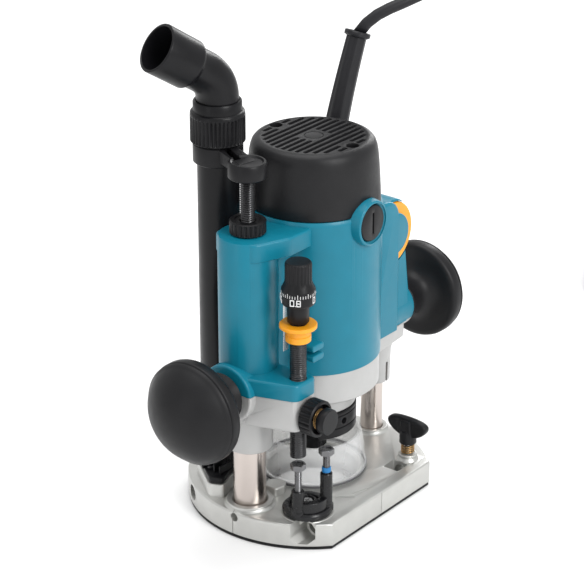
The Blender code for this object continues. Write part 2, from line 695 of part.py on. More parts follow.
def make_cap_screws():
    for name, y in (("front_cap_screw", -31.3), ("rear_cap_screw", 31.3)):
        profile = [(0, 217.5), (1.9, 217.5), (1.9, 255.6), (3.3, 255.6), (3.3, 258.2), (0, 258.2)]
        finish(turned(name, profile, (0, y, 0), steps=16), "bright_steel")


def make_motor():
    finish(ring("field_core", 41.1, 27.0, 130, 185, steps=32), "lamination")
    shaft = [(0, 250.5), (4.0, 250.5), (4.0, 226), (5.5, 226), (5.5, 122)]
    shaft += [(7.9, 122), (7.9, 40.5), (5.3, 40.5), (5.3, 62), (0, 66)]
    finish(turned("spindle_shaft", shaft, steps=28), "bright_steel")
    finish(ring("armature_core", 26.3, 5.8, 128, 187, steps=28), "lamination")
    finish(ring("commutator", 14.5, 5.8, 200, 221, steps=30), "copper")
    finish(ring("fan", 36.5, 8.2, 111, 119.5, steps=28), "dark_plastic")
    finish(ring("upper_bearing", 11.0, 4.3, 241, 250, steps=28), "bright_steel")
    finish(ring("lower_bearing", 16.0, 8.2, 92, 103, steps=32), "bright_steel")
    for name, sign, axis in (("front", -1, "-Y"), ("rear", 1, "Y")):
        low, high = sorted((sign * 15.2, sign * 40.0))
        brush = block(f"{name}_carbon_brush", (-3, low, BRUSH_Z - 3.5), (3, high, BRUSH_Z + 3.5))
        finish(brush, "carbon")
        profile = [(0, 40.6), (5.0, 40.6), (5.0, 45.0), (12.2, 45.0)]
        profile += [(12.2, 48.0), (11.4, 48.8), (0, 48.8)]
        cap = turned(f"{name}_brush_cap", profile, (0, 0, BRUSH_Z), axis, 28)
        low, high = sorted((sign * 47.4, sign * 55.0))
        cut(cap, block(name + "_cap_slot", (-0.9, low, BRUSH_Z - 8), (0.9, high, BRUSH_Z + 8)))
        finish(cap, "dark_plastic")


def make_collet():
    sleeve = ring("collet", 5.0, 3.15, 37.0, 59.5, steps=24)
    finish(sleeve, "bright_steel")
    nut = rod("collet_nut", 9.7, 34.5, 54, steps=6, phase=0.0)
    cut(nut, rod("nut_bore", 8.2, 36.7, 60, steps=28), rod("nut_mouth", 4.3, 20, 40, steps=24))
    finish(nut, "black_steel")


def make_bushes():
    left = ring("left_bush", 13.1, LEFT_COLUMN_R + 0.25, 66, 84, (-COLUMN_X, 0, 0))
    right = ring("right_bush", 9.9, RIGHT_COLUMN_R + 0.25, 62, 80, (COLUMN_X, 0, 0))
    finish(left, "brass")
    finish(right, "brass")


def knob_profile():
    """Mushroom grip from its stud to the tip of its dome, as (radius, distance from the spindle)."""
    rim, depth = KNOB_RIM_R, KNOB_DOME
    profile = [(0, 84.0), (4.0, 84.0), (4.0, 95.3), (16.5, 95.3), (14.5, 102), (14.0, 109), (17.5, 115)]
    profile += [(25.5, 118.5), (32.0, 118.3), (34.3, 119.6), (rim, 122), (rim, KNOB_RIM_X)]
    ball = (rim * rim + depth * depth) / (2 * depth)
    for i in range(1, 6):
        a = math.asin(rim / ball) * (1 - i / 6)
        profile.append((ball * math.sin(a), KNOB_RIM_X + depth - ball + ball * math.cos(a)))
    return profile + [(0, KNOB_RIM_X + depth)]


def make_handles():
    left = turned("left_handle", knob_profile(), (0, 0, HANDLE_Z), "-X", 24)
    right = turned("right_handle", knob_profile(), (0, 0, HANDLE_Z), "X", 24)
    finish(left, "black_plastic")
    finish(right, "black_plastic")


def make_depth_stop():
    at = (*POLE, 0)
    pole = rod("stopper_pole", POLE_R, 65.6, 160.5, at, steps=24)
    join(pole, rod("pole_tip", 3.0, 150, 174, at, steps=16))
    finish(pole, "black_steel")
    knob = [(0, 203.8), (7.6, 203.8), (8.7, 202.5), (8.7, 191), (9.2, 189), (11.1, 185.5)]
    knob += [(11.1, 176.5), (10.4, 175.2), (7.1, 174.8), (7.1, 162.3)]
    knob += [(3.4, 162.3), (3.4, 175.5), (0, 175.5)]
    finish(turned("depth_knob", knob, at, steps=24), "black_plastic")
    bore = POLE_R + 0.35
    pointer = [(bore, 149), (8.4, 149), (8.4, 157.6), (12.2, 158.2), (12.2, 161), (bore, 161)]
    finish(turned("depth_pointer", pointer, at, steps=24, closed=True), "orange_plastic")
    plate = block("scale_plate", (-50.5, -14.3, 127), (-44.8, -13.3, 172))
    finish(plate, "machined_aluminium")

    nut_at = (POLE[0], 0, NUT_Z)
    nut = [(3.6, 48.2), (12.3, 48.2), (12.3, 58.4), (3.6, 58.4)]
    body = turned("setting_nut", nut, nut_at, "-Y", 32, closed=True)
    finish(body, "black_plastic")
    stem = [(0, 49), (3.1, 49), (3.1, 62.5), (8.6, 62.5), (8.6, 67.2), (7.6, 68.2), (0, 68.2)]
    finish(turned("feed_button", stem, nut_at, "-Y", 28), "dark_plastic")


def make_lock_and_switch():
    at = (-COLUMN_X, 0, 95)
    lever = [(0, 12.2), (4.0, 12.2), (4.0, 21.2), (6.2, 21.2), (6.2, 27.5), (0, 27.5)]
    body = turned("lock_lever", lever, at, "Y", 24)
    arm = rounded([(-COLUMN_X + 3, 91, 2), (-COLUMN_X + 3, 99, 2), (-100, 101.5, 4), (-100, 91, 4)], 3)
    join(body, prism("lock_arm", arm, 22, 27, "Y"))
    finish(body, "black_plastic")

    hub = (60, 18.4, 162)
    switch = rod("switch_lever", 6.4, -5.1, 5.1, hub, "X", 24)
    paddle = [(55.1, 18), (64.9, 18), (64.9, 28), (55.1, 28)]
    join(switch, prism("switch_paddle", paddle, 160, 163.6))
    finish(switch, "black_plastic")

    pad = []
    for degrees in range(-135, -44, 9):
        pad.append(around((0, 0), 29.8, degrees))
    for degrees in range(-45, -136, -9):
        pad.append(around((0, 0), 24.5, degrees))
    lock = prism("shaft_lock", pad, 55, 69.6, origin=(0, -27, 62))
    join(lock, block("lock_tongue", (-5, -28, 60), (5, -19, 78)))
    finish(lock, "black_plastic")


def make_dial():
    profile = [(0, 11), (DIAL_R, 11), (DIAL_R, 16), (2.6, 16), (2.6, 18.6), (0, 18.6)]
    finish(turned("speed_dial", profile, (DIAL[0], 0, DIAL[1]), "-Y", 36), "orange_plastic")
    finish(block("speed_controller", (46, 10, 116), (58, 17.2, 146)), "dark_plastic")


# ---------------------------------------------------------------- cord


def guard_path(steps=7):
    """Centre line of the strain relief: upright in its socket, then leaning over to the right."""
    middle = Vector((GUARD_BASE.x + 2.0, GUARD_BASE.y - 1.5, 240))
    path = []
    for i in range(steps + 1):
        t = i / steps
        path.append(GUARD_BASE * (1 - t) ** 2 + middle * 2 * t * (1 - t) + GUARD_TOP * t**2)
    return path


def make_guard():
    path = guard_path()
    outer = [8.5 - 1.9 * i / (len(path) - 1) for i in range(len(path))]
    lean = (path[-1] - path[-2]).normalized()
    path += [path[-1] + lean * 0.8, path[-1] + lean * 3.4, path[-1] + lean * 4.2]
    outer += [8.4, 8.4, 7.9]
    bore = [CORD_R + 0.6] * (len(path) - 3) + [CORD_R + 2.2, CORD_R + 2.6, CORD_R + 3.0]
    finish(swept("cord_guard", path, outer, bore, 14, origin=tuple(GUARD_BASE)), "rubber")


CORD_ROUTE = [
    (75.2, 20.5, 305.4),
    (81.2, 16.2, 313.6),
    (88.6, 9.6, 319.6),
    (98.5, 1.8, 324.4),
    (111.0, -5.8, 329.2),
    (130.0, -14.0, 334.5),
    (165.0, -24.5, 339.5),
    (213.0, -34.5, 337.0),
    (263.0, -43.0, 321.0),
    (307.0, -49.5, 289.0),
    (342.0, -54.5, 243.0),
    (368.0, -58.5, 190.0),
    (388.0, -61.5, 136.0),
    (400.0, -63.0, 102.0),
    (411.0, -64.0, 69.0),
    (422.0, -64.4, 41.0),
    (436.5, -64.6, 20.5),
    (456.0, -63.4, 8.0),
    (474.0, -56.6, 4.6),
]


def smooth(points, spacing):
    """Points at an even spacing along a Catmull-Rom curve through a route."""
    given = [Vector(p) for p in points]
    fine = []
    for i in range(len(given) - 1):
        a = given[max(i - 1, 0)]
        b, c = given[i], given[i + 1]
        d = given[min(i + 2, len(given) - 1)]
        for k in range(24):
            t = k / 24
            square = 2 * a - 5 * b + 4 * c - d
            cube = 3 * b - a - 3 * c + d
            fine.append(b + 0.5 * ((c - a) * t + square * t**2 + cube * t**3))
    fine.append(given[-1])
    total = sum((b - a).length for a, b in zip(fine, fine[1:]))
    count = max(2, round(total / spacing))
    evenly, walked, target = [fine[0]], 0.0, total / count
    for a, b in zip(fine, fine[1:]):
        step = (b - a).length
        while walked + step >= target and len(evenly) < count:
            evenly.append(a.lerp(b, (target - walked) / step))
            target += total / count
        walked += step
    evenly.append(fine[-1])
    return evenly


def make_cord():
    curve = bpy.data.curves.new("power_cord", "CURVE")
    curve.dimensions = "3D"
    curve.bevel_depth = CORD_R * MM
    curve.bevel_resolution = 2
    curve.use_fill_caps = True
    line = curve.splines.new("POLY")
    points = smooth(CORD_ROUTE, 2 * 2 * CORD_R)
    line.points.add(len(points) - 1)
    for slot, point in zip(line.points, points):
        slot.co = (*((point + SHIFT) * MM), 1.0)
    made = bpy.data.objects.new("power_cord", curve)
    PARTS.objects.link(made)
    made.data.materials.append(material("rubber"))

    half_w, half_h = COIL_WIDTH / 2, COIL_HEIGHT / 2
    section = []
    for i in range(10):
        a = 2 * math.pi * i / 10
        across, up = math.cos(a), math.sin(a)
        squarer = 1 / max(abs(across), abs(up)) ** 0.7
        section.append((COIL_R + half_w * across * squarer, half_h * (1 + min(1, max(-1, up * squarer)))))
    finish(turned("cord_coil", section, (*COIL_CENTRE, 0), steps=28, closed=True), "rubber")

    at = (COIL_CENTRE[0] + COIL_R, COIL_CENTRE[1] - 3, COIL_HEIGHT + 0.3 + PLUG_R)
    body = [(0, 0), (4.6, 0), (6.4, 14), (12.5, 20), (PLUG_R, 24), (PLUG_R, 42), (12.5, 44), (0, 44)]
    plug = turned("mains_plug", body, at, "Y", 28)
    for i, side in enumerate((-1, 1)):
        join(plug, rod(f"pin_{i}", 2.2, 40, 63, (at[0], at[1], at[2] + side * 9.5), "Y", 12))
    finish(plug, "rubber")


# ---------------------------------------------------------------- build


clear_scene()
PARTS = new_collection("compact_plunge_router")
CUTTERS = new_collection("cutters")
CUTTERS.hide_render = True

make_base_casting()
make_sole()
make_columns()
make_dust_path()
make_nozzle()
make_stopper()
make_guide_clamp()
make_limit_nut()
make_motor_housing()
make_head_casting()
make_motor_cap()
make_cap_screws()
make_motor()
make_collet()
make_bushes()
make_handles()
make_depth_stop()
make_lock_and_switch()
make_dial()
make_guard()
make_cord()
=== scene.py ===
"""Looks of a compact plunge router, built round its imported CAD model.

Shapes are given in millimetres in the spindle's frame: the spindle is Z, the sole is z = 0, the right grip
is along +X and the operator is on the -Y side. TO_OBJECT turns them into metres in the object's frame.
"""

import math

import bmesh
import bpy
from mathutils import Matrix, Vector


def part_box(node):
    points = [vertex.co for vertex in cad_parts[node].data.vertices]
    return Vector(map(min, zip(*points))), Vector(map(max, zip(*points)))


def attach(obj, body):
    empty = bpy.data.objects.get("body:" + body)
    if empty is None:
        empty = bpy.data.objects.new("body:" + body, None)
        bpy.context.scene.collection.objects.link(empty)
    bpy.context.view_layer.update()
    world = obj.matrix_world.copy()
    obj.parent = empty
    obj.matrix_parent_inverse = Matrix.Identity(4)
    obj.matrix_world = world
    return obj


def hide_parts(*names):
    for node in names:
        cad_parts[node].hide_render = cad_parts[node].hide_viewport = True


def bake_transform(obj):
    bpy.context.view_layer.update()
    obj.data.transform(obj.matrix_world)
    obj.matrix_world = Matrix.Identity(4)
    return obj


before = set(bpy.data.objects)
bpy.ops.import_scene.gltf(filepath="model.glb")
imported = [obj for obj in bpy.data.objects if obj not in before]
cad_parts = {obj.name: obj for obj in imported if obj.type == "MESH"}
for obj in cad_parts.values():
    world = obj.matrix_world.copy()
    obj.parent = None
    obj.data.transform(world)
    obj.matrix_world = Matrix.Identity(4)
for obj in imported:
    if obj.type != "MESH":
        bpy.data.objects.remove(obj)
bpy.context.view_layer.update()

MM = 0.001


def middle(node):
    low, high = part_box(node)
    return (low + high) / 2


SPINDLE = middle("spindle_shaft")
TO_OBJECT = Matrix.Translation((SPINDLE.x, SPINDLE.y, 0)) @ Matrix.Scale(MM, 4)


def at_node(node):
    """The middle of a CAD node in the spindle's frame, in millimetres."""
    return (middle(node) - Vector((SPINDLE.x, SPINDLE.y, 0))) / MM


def span(node, axis="z"):
    """The lowest and highest place of a CAD node along an axis, in millimetres from the spindle."""
    i = "xyz".index(axis)
    shift = (SPINDLE.x, SPINDLE.y, 0)[i]
    low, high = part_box(node)
    return (low[i] - shift) / MM, (high[i] - shift) / MM


# ---------------- materials


def node(tree, kind, inputs=None, **settings):
    made = tree.nodes.new("ShaderNode" + kind)
    for key, value in settings.items():
        setattr(made, key, value)
    for key, value in (inputs or {}).items():
        made.inputs[key].default_value = value
    return made


def noise(tree, size_mm, detail, stretch, roughness=0.5):
    """Noise with features of a given size, in the object's own coordinates."""
    place_in = node(tree, "TexCoord")
    mapping = node(tree, "Mapping", {"Scale": stretch})
    made = node(tree, "TexNoise", {"Scale": 1.0 / (size_mm * MM), "Detail": detail, "Roughness": roughness})
    tree.links.new(place_in.outputs["Object"], mapping.inputs["Vector"])
    tree.links.new(mapping.outputs["Vector"], made.inputs["Vector"])
    return made.outputs["Fac"]


def ramp(tree, value, low, high):
    """The middle of a noise's range, spread between two values."""
    made = node(tree, "MapRange", {"From Min": 0.3, "From Max": 0.7, "To Min": low, "To Max": high})
    tree.links.new(value, made.inputs["Value"])
    return made.outputs["Result"]


def blend_colours(tree, factor, first, second):
    made = node(tree, "Mix", {6: (*first, 1.0), 7: (*second, 1.0)}, data_type="RGBA")
    tree.links.new(factor, made.inputs[0])
    return made.outputs[2]


def surface(
    name, colour, rough, mottle, grain_mm, grain, metal=0.0, specular=0.5, alpha=1.0,
    mottle_mm=14.0, rough_swing=0.05, stretch=(1.0, 1.0, 1.0),
):
    """A material whose colour, gloss and fine relief all vary a little, as moulded or machined stock does.

    mottle is the share by which the colour varies, and grain is the height of the relief in millimetres."""
    made = bpy.data.materials.new(name)
    made.use_nodes = True
    tree = made.node_tree
    shader = tree.nodes["Principled BSDF"]
    darker = tuple(c * (1 - mottle) for c in colour)
    lighter = tuple(min(1.0, c * (1 + mottle)) for c in colour)
    patches = ramp(tree, noise(tree, mottle_mm, 4.0, stretch), 0, 1)
    tree.links.new(blend_colours(tree, patches, darker, lighter), shader.inputs["Base Color"])
    smudges = noise(tree, mottle_mm * 0.6, 5.0, stretch, 0.6)
    tree.links.new(ramp(tree, smudges, rough - rough_swing, rough + rough_swing), shader.inputs["Roughness"])
    bump = node(tree, "Bump", {"Strength": 1.0, "Distance": grain * MM})
    tree.links.new(noise(tree, grain_mm, 2.0, stretch), bump.inputs["Height"])
    tree.links.new(bump.outputs["Normal"], shader.inputs["Normal"])
    shader.inputs["Metallic"].default_value = metal
    shader.inputs["Specular IOR Level"].default_value = specular
    shader.inputs["Alpha"].default_value = alpha
    return made


TEAL = surface("teal_moulding", (0.003, 0.160, 0.235), 0.34, 0.04, 0.5, 0.012, specular=0.32)
BLACK = surface("black_moulding", (0.008, 0.008, 0.009), 0.38, 0.15, 0.45, 0.03, specular=0.2)
SOFT_BLACK = surface("soft_black_grip", (0.008, 0.008, 0.009), 0.44, 0.12, 0.5, 0.02, specular=0.22)
CAP_BLACK = surface("cap_moulding", (0.011, 0.011, 0.012), 0.42, 0.1, 0.6, 0.05, specular=0.22)
TUBE_BLACK = surface("tube_moulding", (0.006, 0.006, 0.007), 0.34, 0.15, 0.8, 0.02, specular=0.2)
RUBBER = surface("cord_rubber", (0.012, 0.012, 0.014), 0.48, 0.15, 0.4, 0.03, specular=0.25)
SILVER = surface("cast_silver", (0.43, 0.43, 0.425), 0.42, 0.03, 0.5, 0.035, metal=0.35)
BASE_METAL = surface("base_silver", (0.53, 0.53, 0.51), 0.36, 0.04, 0.45, 0.03, metal=0.75)
CHROME = surface(
    "column_chrome", (0.56, 0.50, 0.465), 0.24, 0.03, 0.3, 0.002, metal=1.0,
    rough_swing=0.03, stretch=(1.0, 1.0, 0.05),
)
STEEL = surface("bright_steel", (0.60, 0.60, 0.60), 0.26, 0.05, 0.3, 0.006, metal=1.0)
BLACK_STEEL = surface("black_steel", (0.006, 0.006, 0.007), 0.26, 0.2, 0.35, 0.012, specular=0.35)
SCREWED_STEEL = surface("screwed_steel", (0.045, 0.045, 0.047), 0.30, 0.15, 0.35, 0.006, metal=0.7)
BOLT_STEEL = surface("bolt_steel", (0.17, 0.17, 0.175), 0.28, 0.1, 0.35, 0.008, metal=0.9)
BRASS = surface("brass", (0.36, 0.22, 0.09), 0.28, 0.08, 0.35, 0.01, metal=1.0)
ORANGE = surface("orange_moulding", (0.80, 0.32, 0.008), 0.40, 0.04, 0.4, 0.02)
BLUE = surface("blue_patch", (0.001, 0.16, 0.42), 0.45, 0.1, 0.6, 0.08)
WHITE = surface("white_print", (0.80, 0.80, 0.80), 0.5, 0.03, 0.35, 0.01)
# Clear moulding: see-through at 0.27 alpha, and its near-white colour is a painted sheen that stands in for
# the plastic's reflections.
CLEAR_WITH_PAINTED_SHEEN = surface(
    "clear_moulding", (0.97, 0.98, 0.985), 0.06, 0.01, 2.0, 0.01, specular=0.6, alpha=0.27, rough_swing=0.02,
)
GREY = surface("grey_moulding", (0.10, 0.10, 0.105), 0.42, 0.08, 0.35, 0.02)
COPPER = surface("copper", (0.70, 0.30, 0.16), 0.3, 0.08, 0.35, 0.03, metal=1.0)
LAMINATION = surface(
    "lamination", (0.25, 0.25, 0.26), 0.45, 0.1, 0.35, 0.03, metal=0.9, stretch=(0.2, 0.2, 3.0),
)
FLOOR = surface("floor", (0.86, 0.86, 0.86), 0.75, 0.006, 3.0, 0.02, specular=0.2, mottle_mm=180)


# ---------------- outlines and solids


def rounded(points, radius=0.0, steps=4, closed=True):
    """An outline with its corners rounded. A point may carry its own radius as a third number."""
    made = []
    count = len(points)
    for i, point in enumerate(points):
        here = Vector(point[:2])
        wanted = point[2] if len(point) > 2 else radius
        if wanted <= 0 or (not closed and i in (0, count - 1)):
            made.append(tuple(here))
            continue
        before = Vector(points[i - 1][:2]) - here
        after = Vector(points[(i + 1) % count][:2]) - here
        half = before.angle(after) / 2
        reach = min(wanted / math.tan(half), 0.49 * before.length, 0.49 * after.length)
        start = here + before.normalized() * reach
        end = here + after.normalized() * reach
        for k in range(steps + 1):
            t = k / steps
            made.append(tuple(start * (1 - t) ** 2 + here * 2 * t * (1 - t) + end * t**2))
    return made


def rectangle(low, high, radius=0.0, steps=4):
    """A rectangle between two opposite corners, with its corners rounded."""
    return rounded([low[:2], (high[0], low[1]), high[:2], (low[0], high[1])], radius, steps)


def around(centre, radius, degrees, height=0.0):
    a = math.radians(degrees)
    return centre[0] + radius * math.cos(a), centre[1] + radius * math.sin(a), height


def strip(start, end, half_width):
    """The outline of a straight strip from one point to another."""
    start = Vector(start[:2])
    end = Vector(end[:2])
    way = (end - start).normalized()
    side = Vector((-way.y, way.x)) * half_width
    return [tuple(point) for point in (start - side, end - side, end + side, start + side)]


def arc(centre, radius, first, last, steps=24, high=None):
    """Points round part of a circle, between two angles in degrees.

    With high, the radius along the second direction, it is part of an ellipse."""
    made = []
    for i in range(steps + 1):
        a = math.radians(first + (last - first) * i / steps)
        made.append((centre[0] + radius * math.cos(a), centre[1] + (high or radius) * math.sin(a)))
    return made


def circle(centre, radius, steps):
    return arc(centre, radius, 0, 360, steps)[:-1]


def band(centre, outer, inner, first, last, steps):
    """Part of a ring, between two angles."""
    return arc(centre, outer, first, last, steps) + arc(centre, inner, last, first, steps)


def turning(axis, at):
    """Turns Z towards an axis, then moves to a place."""
    turns = {"Z": (0, "X"), "X": (90, "Y"), "-X": (-90, "Y"), "Y": (-90, "X"), "-Y": (90, "X")}
    degrees, about = turns[axis]
    return Matrix.Translation(Vector(at)) @ Matrix.Rotation(math.radians(degrees), 4, about)


def placed(name, data):
    made = bpy.data.objects.new(name, data)
    bpy.context.scene.collection.objects.link(made)
    return made


def mesh_object(built, name):
    mesh = bpy.data.meshes.new(name)
    built.to_mesh(mesh)
    built.free()
    return placed(name, mesh)


def object_from(built):
    """Gives a shape in the spindle's millimetres its place in the object's metres."""
    bmesh.ops.transform(built, matrix=TO_OBJECT, verts=built.verts)
    bmesh.ops.recalc_face_normals(built, faces=built.faces)
    return mesh_object(built, "tool")


def bridge(built, loops, cap_ends=False):
    """Faces between one loop of corners and the next."""
    for low, high in zip(loops, loops[1:]):
        for k in range(len(low)):
            n = (k + 1) % len(low)
            built.faces.new([low[k], low[n], high[n], high[k]])
    if cap_ends:
        built.faces.new(loops[0])
        built.faces.new(loops[-1])


def turned(profile, at=(0, 0, 0), axis="Z", steps=72, closed=False, wave=None, phase=0.0):
    """A solid turned from (radius, distance) points, its two ends closed to the axis.

    With closed=True the profile is a loop. wave(angle, radius, distance) may change the radius."""
    if not closed:
        first = [(0, profile[0][1])] if profile[0][0] else []
        last = [(0, profile[-1][1])] if profile[-1][0] else []
        profile = first + profile + last
    built = bmesh.new()
    turn = turning(axis, at)
    loops = []
    tips = []
    for radius, distance in profile:
        if radius < 1e-6:
            tips.append(built.verts.new(turn @ Vector((0, 0, distance))))
            continue
        loop = []
        for k in range(steps):
            a = 2 * math.pi * k / steps + phase
            r = wave(a, radius, distance) if wave else radius
            loop.append(built.verts.new(turn @ Vector((r * math.cos(a), r * math.sin(a), distance))))
        loops.append(loop)
    bridge(built, loops + ([loops[0]] if closed else []))
    for tip, ring in zip(tips, (loops[0], loops[-1])):
        for k in range(steps):
            built.faces.new([ring[k], ring[(k + 1) % steps], tip])
    return object_from(built)


def rod(radius, low, high, at=(0, 0, 0), axis="Z", steps=64, edge=0.0, phase=0.0):
    profile = [(radius, low), (radius, high)]
    if edge:
        profile = rounded([(0, low), (radius, low, edge), (radius, high, edge), (0, high)], closed=False)
    return turned(profile, at, axis, steps, phase=phase)


def shrunk(outline, inset):
    """An outline moved inwards by a distance, each corner along its own middle line."""
    count = len(outline)
    area = sum(a[0] * b[1] - b[0] * a[1] for a, b in zip(outline, outline[1:] + outline[:1]))
    turn = 1 if area > 0 else -1
    made = []
    for i in range(count):
        a, b, c = (Vector(outline[(i + k) % count]) for k in (-1, 0, 1))
        first = (b - a).normalized()
        second = (c - b).normalized()
        normal = Vector((-(first.y + second.y), first.x + second.x))
        if normal.length < 1e-9:
            normal = Vector((-first.y, first.x))
        normal.normalize()
        along = max(0.35, abs(normal.dot(Vector((-first.y, first.x)))))
        made.append(tuple(b + normal * turn * inset / along))
    return made


def slab(outline, low, high, axis="Z", edge=0.0, low_edge=None, steps=3):
    """An outline pulled along an axis, with the edges of its two ends rounded.

    On axis Z the outline is (x, y); on axis Y it is (x, z); on axis X it is (y, z)."""
    built = bmesh.new()
    lower = edge if low_edge is None else low_edge
    levels = []
    for i in range(steps + 1 if lower else 1):
        a = math.pi / 2 * i / steps
        levels.append((lower * (1 - math.sin(a)), low + lower * (1 - math.cos(a))))
    for i in range(steps + 1 if edge else 1):
        a = math.pi / 2 * (1 - i / steps)
        levels.append((edge * (1 - math.sin(a)), high - edge * (1 - math.cos(a))))
    loops = []
    for inset, level in levels:
        loop = []
        for u, v in shrunk(outline, inset) if inset else outline:
            spot = {"Z": (u, v, level), "Y": (u, level, v), "X": (level, u, v)}[axis]
            loop.append(built.verts.new(spot))
        loops.append(loop)
    bridge(built, loops, cap_ends=True)
    return object_from(built)


def block(low, high, edge=0.0):
    return slab(rectangle(low, high, edge), low[2], high[2], edge=edge)


def bar(start, end, out, width, low, high):
    """A thin straight bar on a surface that faces out, from one height over it to another."""
    across = (end - start).normalized().cross(out) * width / 2
    corners = (start - across, end - across, end + across, start + across)
    built = bmesh.new()
    loops = [[built.verts.new(corner + out * level) for corner in corners] for level in (low, high)]
    bridge(built, loops, cap_ends=True)
    return object_from(built)


def swept(path, radii, steps=40, section=None):
    """A round bar along a path; with pairs of radii, a pipe with that outside and inside."""
    built = bmesh.new()
    points = [Vector(p) for p in path]
    ways = []
    for i in range(len(points)):
        ways.append((points[min(i + 1, len(points) - 1)] - points[max(i - 1, 0)]).normalized())
    side = ways[0].orthogonal().normalized()
    frames = []
    for point, way in zip(points, ways):
        side = (side - way * side.dot(way)).normalized()
        frames.append((point, side, way.cross(side)))

    def loop_at(place, radius):
        point, across, up = place
        made = []
        for k in range(steps):
            a = 2 * math.pi * k / steps
            r = section(a, radius) if section else radius
            made.append(built.verts.new(point + (across * math.cos(a) + up * math.sin(a)) * r))
        return made

    hollow = isinstance(radii[0], tuple)
    loops = [loop_at(place, r[0] if hollow else r) for place, r in zip(frames, radii)]
    if hollow:
        loops += [loop_at(place, r[1]) for place, r in zip(reversed(frames), reversed(radii))]
        bridge(built, loops + [loops[0]])
    else:
        bridge(built, loops, cap_ends=True)
    return object_from(built)


def coil_of_wire(at, radius, wire, low, high, turns, per_turn, axis="Z"):
    turn = turning(axis, at)
    path = []
    for i in range(int(turns * per_turn) + 1):
        a = 2 * math.pi * i / per_turn
        height = low + (high - low) * i / (turns * per_turn)
        path.append(turn @ Vector((radius * math.cos(a), radius * math.sin(a), height)))
    return swept(path, [wire] * len(path), 12)


def thread(at, outer, depth, low, high, pitch, steps):
    """A screwed rod: one winding ridge, with flat ends."""
    built = bmesh.new()
    here = Vector(at)
    rows = max(2, round((high - low) / (pitch / 4)))
    loops = []
    for j in range(rows + 1):
        z = low + (high - low) * j / rows
        loop = []
        for k in range(steps):
            a = 2 * math.pi * k / steps
            ridge = 1 - abs(2 * ((z / pitch - k / steps) % 1.0) - 1)
            taper = min(1.0, (z - low) / 0.6 + 0.3, (high - z) / 0.6 + 0.3)
            r = (outer - depth * (1 - ridge)) * (0.88 + 0.12 * taper)
            loop.append(built.verts.new(here + Vector((r * math.cos(a), r * math.sin(a), z))))
        loops.append(loop)
    bridge(built, loops, cap_ends=True)
    return object_from(built)


# ---------------- joining, cutting, finishing


def settle(body):
    """Makes the object's modifiers part of its mesh."""
    seen = body.evaluated_get(bpy.context.evaluated_depsgraph_get())
    mesh = bpy.data.meshes.new_from_object(seen)
    body.modifiers.clear()
    old = body.data
    body.data = mesh
    bpy.data.meshes.remove(old)
    return body


def discard(piece):
    mesh = piece.data
    bpy.data.objects.remove(piece)
    bpy.data.meshes.remove(mesh)


def combine(body, tools, operation):
    for tool in tools:
        step = body.modifiers.new(operation.lower(), "BOOLEAN")
        step.operation = operation
        step.solver = "MANIFOLD"
        step.object = tool
    settle(body)
    for tool in tools:
        discard(tool)
    return body


def join(body, *tools):
    return combine(body, tools, "UNION")


def cut(body, *tools):
    return combine(body, tools, "DIFFERENCE")


def keep_inside(body, tool):
    return combine(body, [tool], "INTERSECT")


def soften(body, width, angle, segments=2):
    """Rounds the sharp edges that joining and cutting leave."""
    step = body.modifiers.new("bevel", "BEVEL")
    step.width = width * MM
    step.segments = segments
    step.limit_method = "ANGLE"
    step.angle_limit = math.radians(angle)
    step.miter_outer = "MITER_ARC"
    return settle(body)


def merged(*parts):
    """Several shapes as one piece, each still closed on its own."""
    built = bmesh.new()
    for part in parts:
        built.from_mesh(part.data)
        discard(part)
    return mesh_object(built, "merged")


def show(piece, name, body, material, nodes, angle=32):
    """Names a finished piece, gives it its material, lets it ride on a body and replace CAD nodes."""
    piece.name = name
    piece.data.name = name
    piece.data.materials.clear()
    piece.data.materials.append(material)
    piece.data.shade_smooth()
    piece.data.set_sharp_from_angle(angle=math.radians(angle))
    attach(piece, body)
    if nodes:
        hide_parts(*nodes)
    return piece


def grooved(count, depth, low, high, sharp):
    """A wave for turned(): even flutes cut into the part of a profile between two heights."""

    def wave(a, radius, distance):
        if not low < distance < high:
            return radius
        return radius - depth * (0.5 + 0.5 * math.cos(count * a)) ** sharp

    return wave


def cross_slot(screw, at, reach, half_width, low, high):
    """The two slots of a crosshead screw."""
    for turn in (0, 90):
        ends = (around(at, reach, turn + 180), around(at, reach, turn))
        cut(screw, slab(strip(*ends, half_width), low, high))


def socket_screw(low, high, at, head, edge, socket, depth):
    """A screw with a round head and a six-sided socket."""
    profile = [(1.9, low), (1.9, high - head), (3.3, high - head), (3.3, high - edge), (2.6, high)]
    return cut(turned(profile, at, steps=48), rod(socket, high - depth, high + 2, at, steps=6))


# ---------------- sizes shared with the CAD model

LEFT_X = at_node("left_column").x
RIGHT_X = at_node("right_column").x
LEFT_R = (span("left_column", "x")[1] - span("left_column", "x")[0]) / 2
RIGHT_R = (span("right_column", "x")[1] - span("right_column", "x")[0]) / 2
TUBE = at_node("dust_tube")
POLE = at_node("stopper_pole")
DIAL = at_node("speed_dial")
NUT = at_node("setting_nut")
BASE_R, BASE_X, EDGE_Y = 83.5, -3.5, -62.3
CASTING_Z, BASE_TOP = span("base_casting")[0], 18.5
FOOT_Z = span("dust_foot")[0]
GUIDE_Y, GUIDE_Z, GUIDE_R = 47.2, 11.0, 5.3
TUBE_R = 13.75
BARREL_R, TOWER_R = 45.5, 19.6
BARREL_SPLIT, LEFT_SPLIT, RIGHT_SPLIT = 107.5, 110.5, 100.0
TOWER_TOP, HOUSING_TOP = 213.5, 215.7
SHELF_TOP, SHELF_BOTTOM = 122.0, 88.0
CAP_SCREW_Y = 31.3

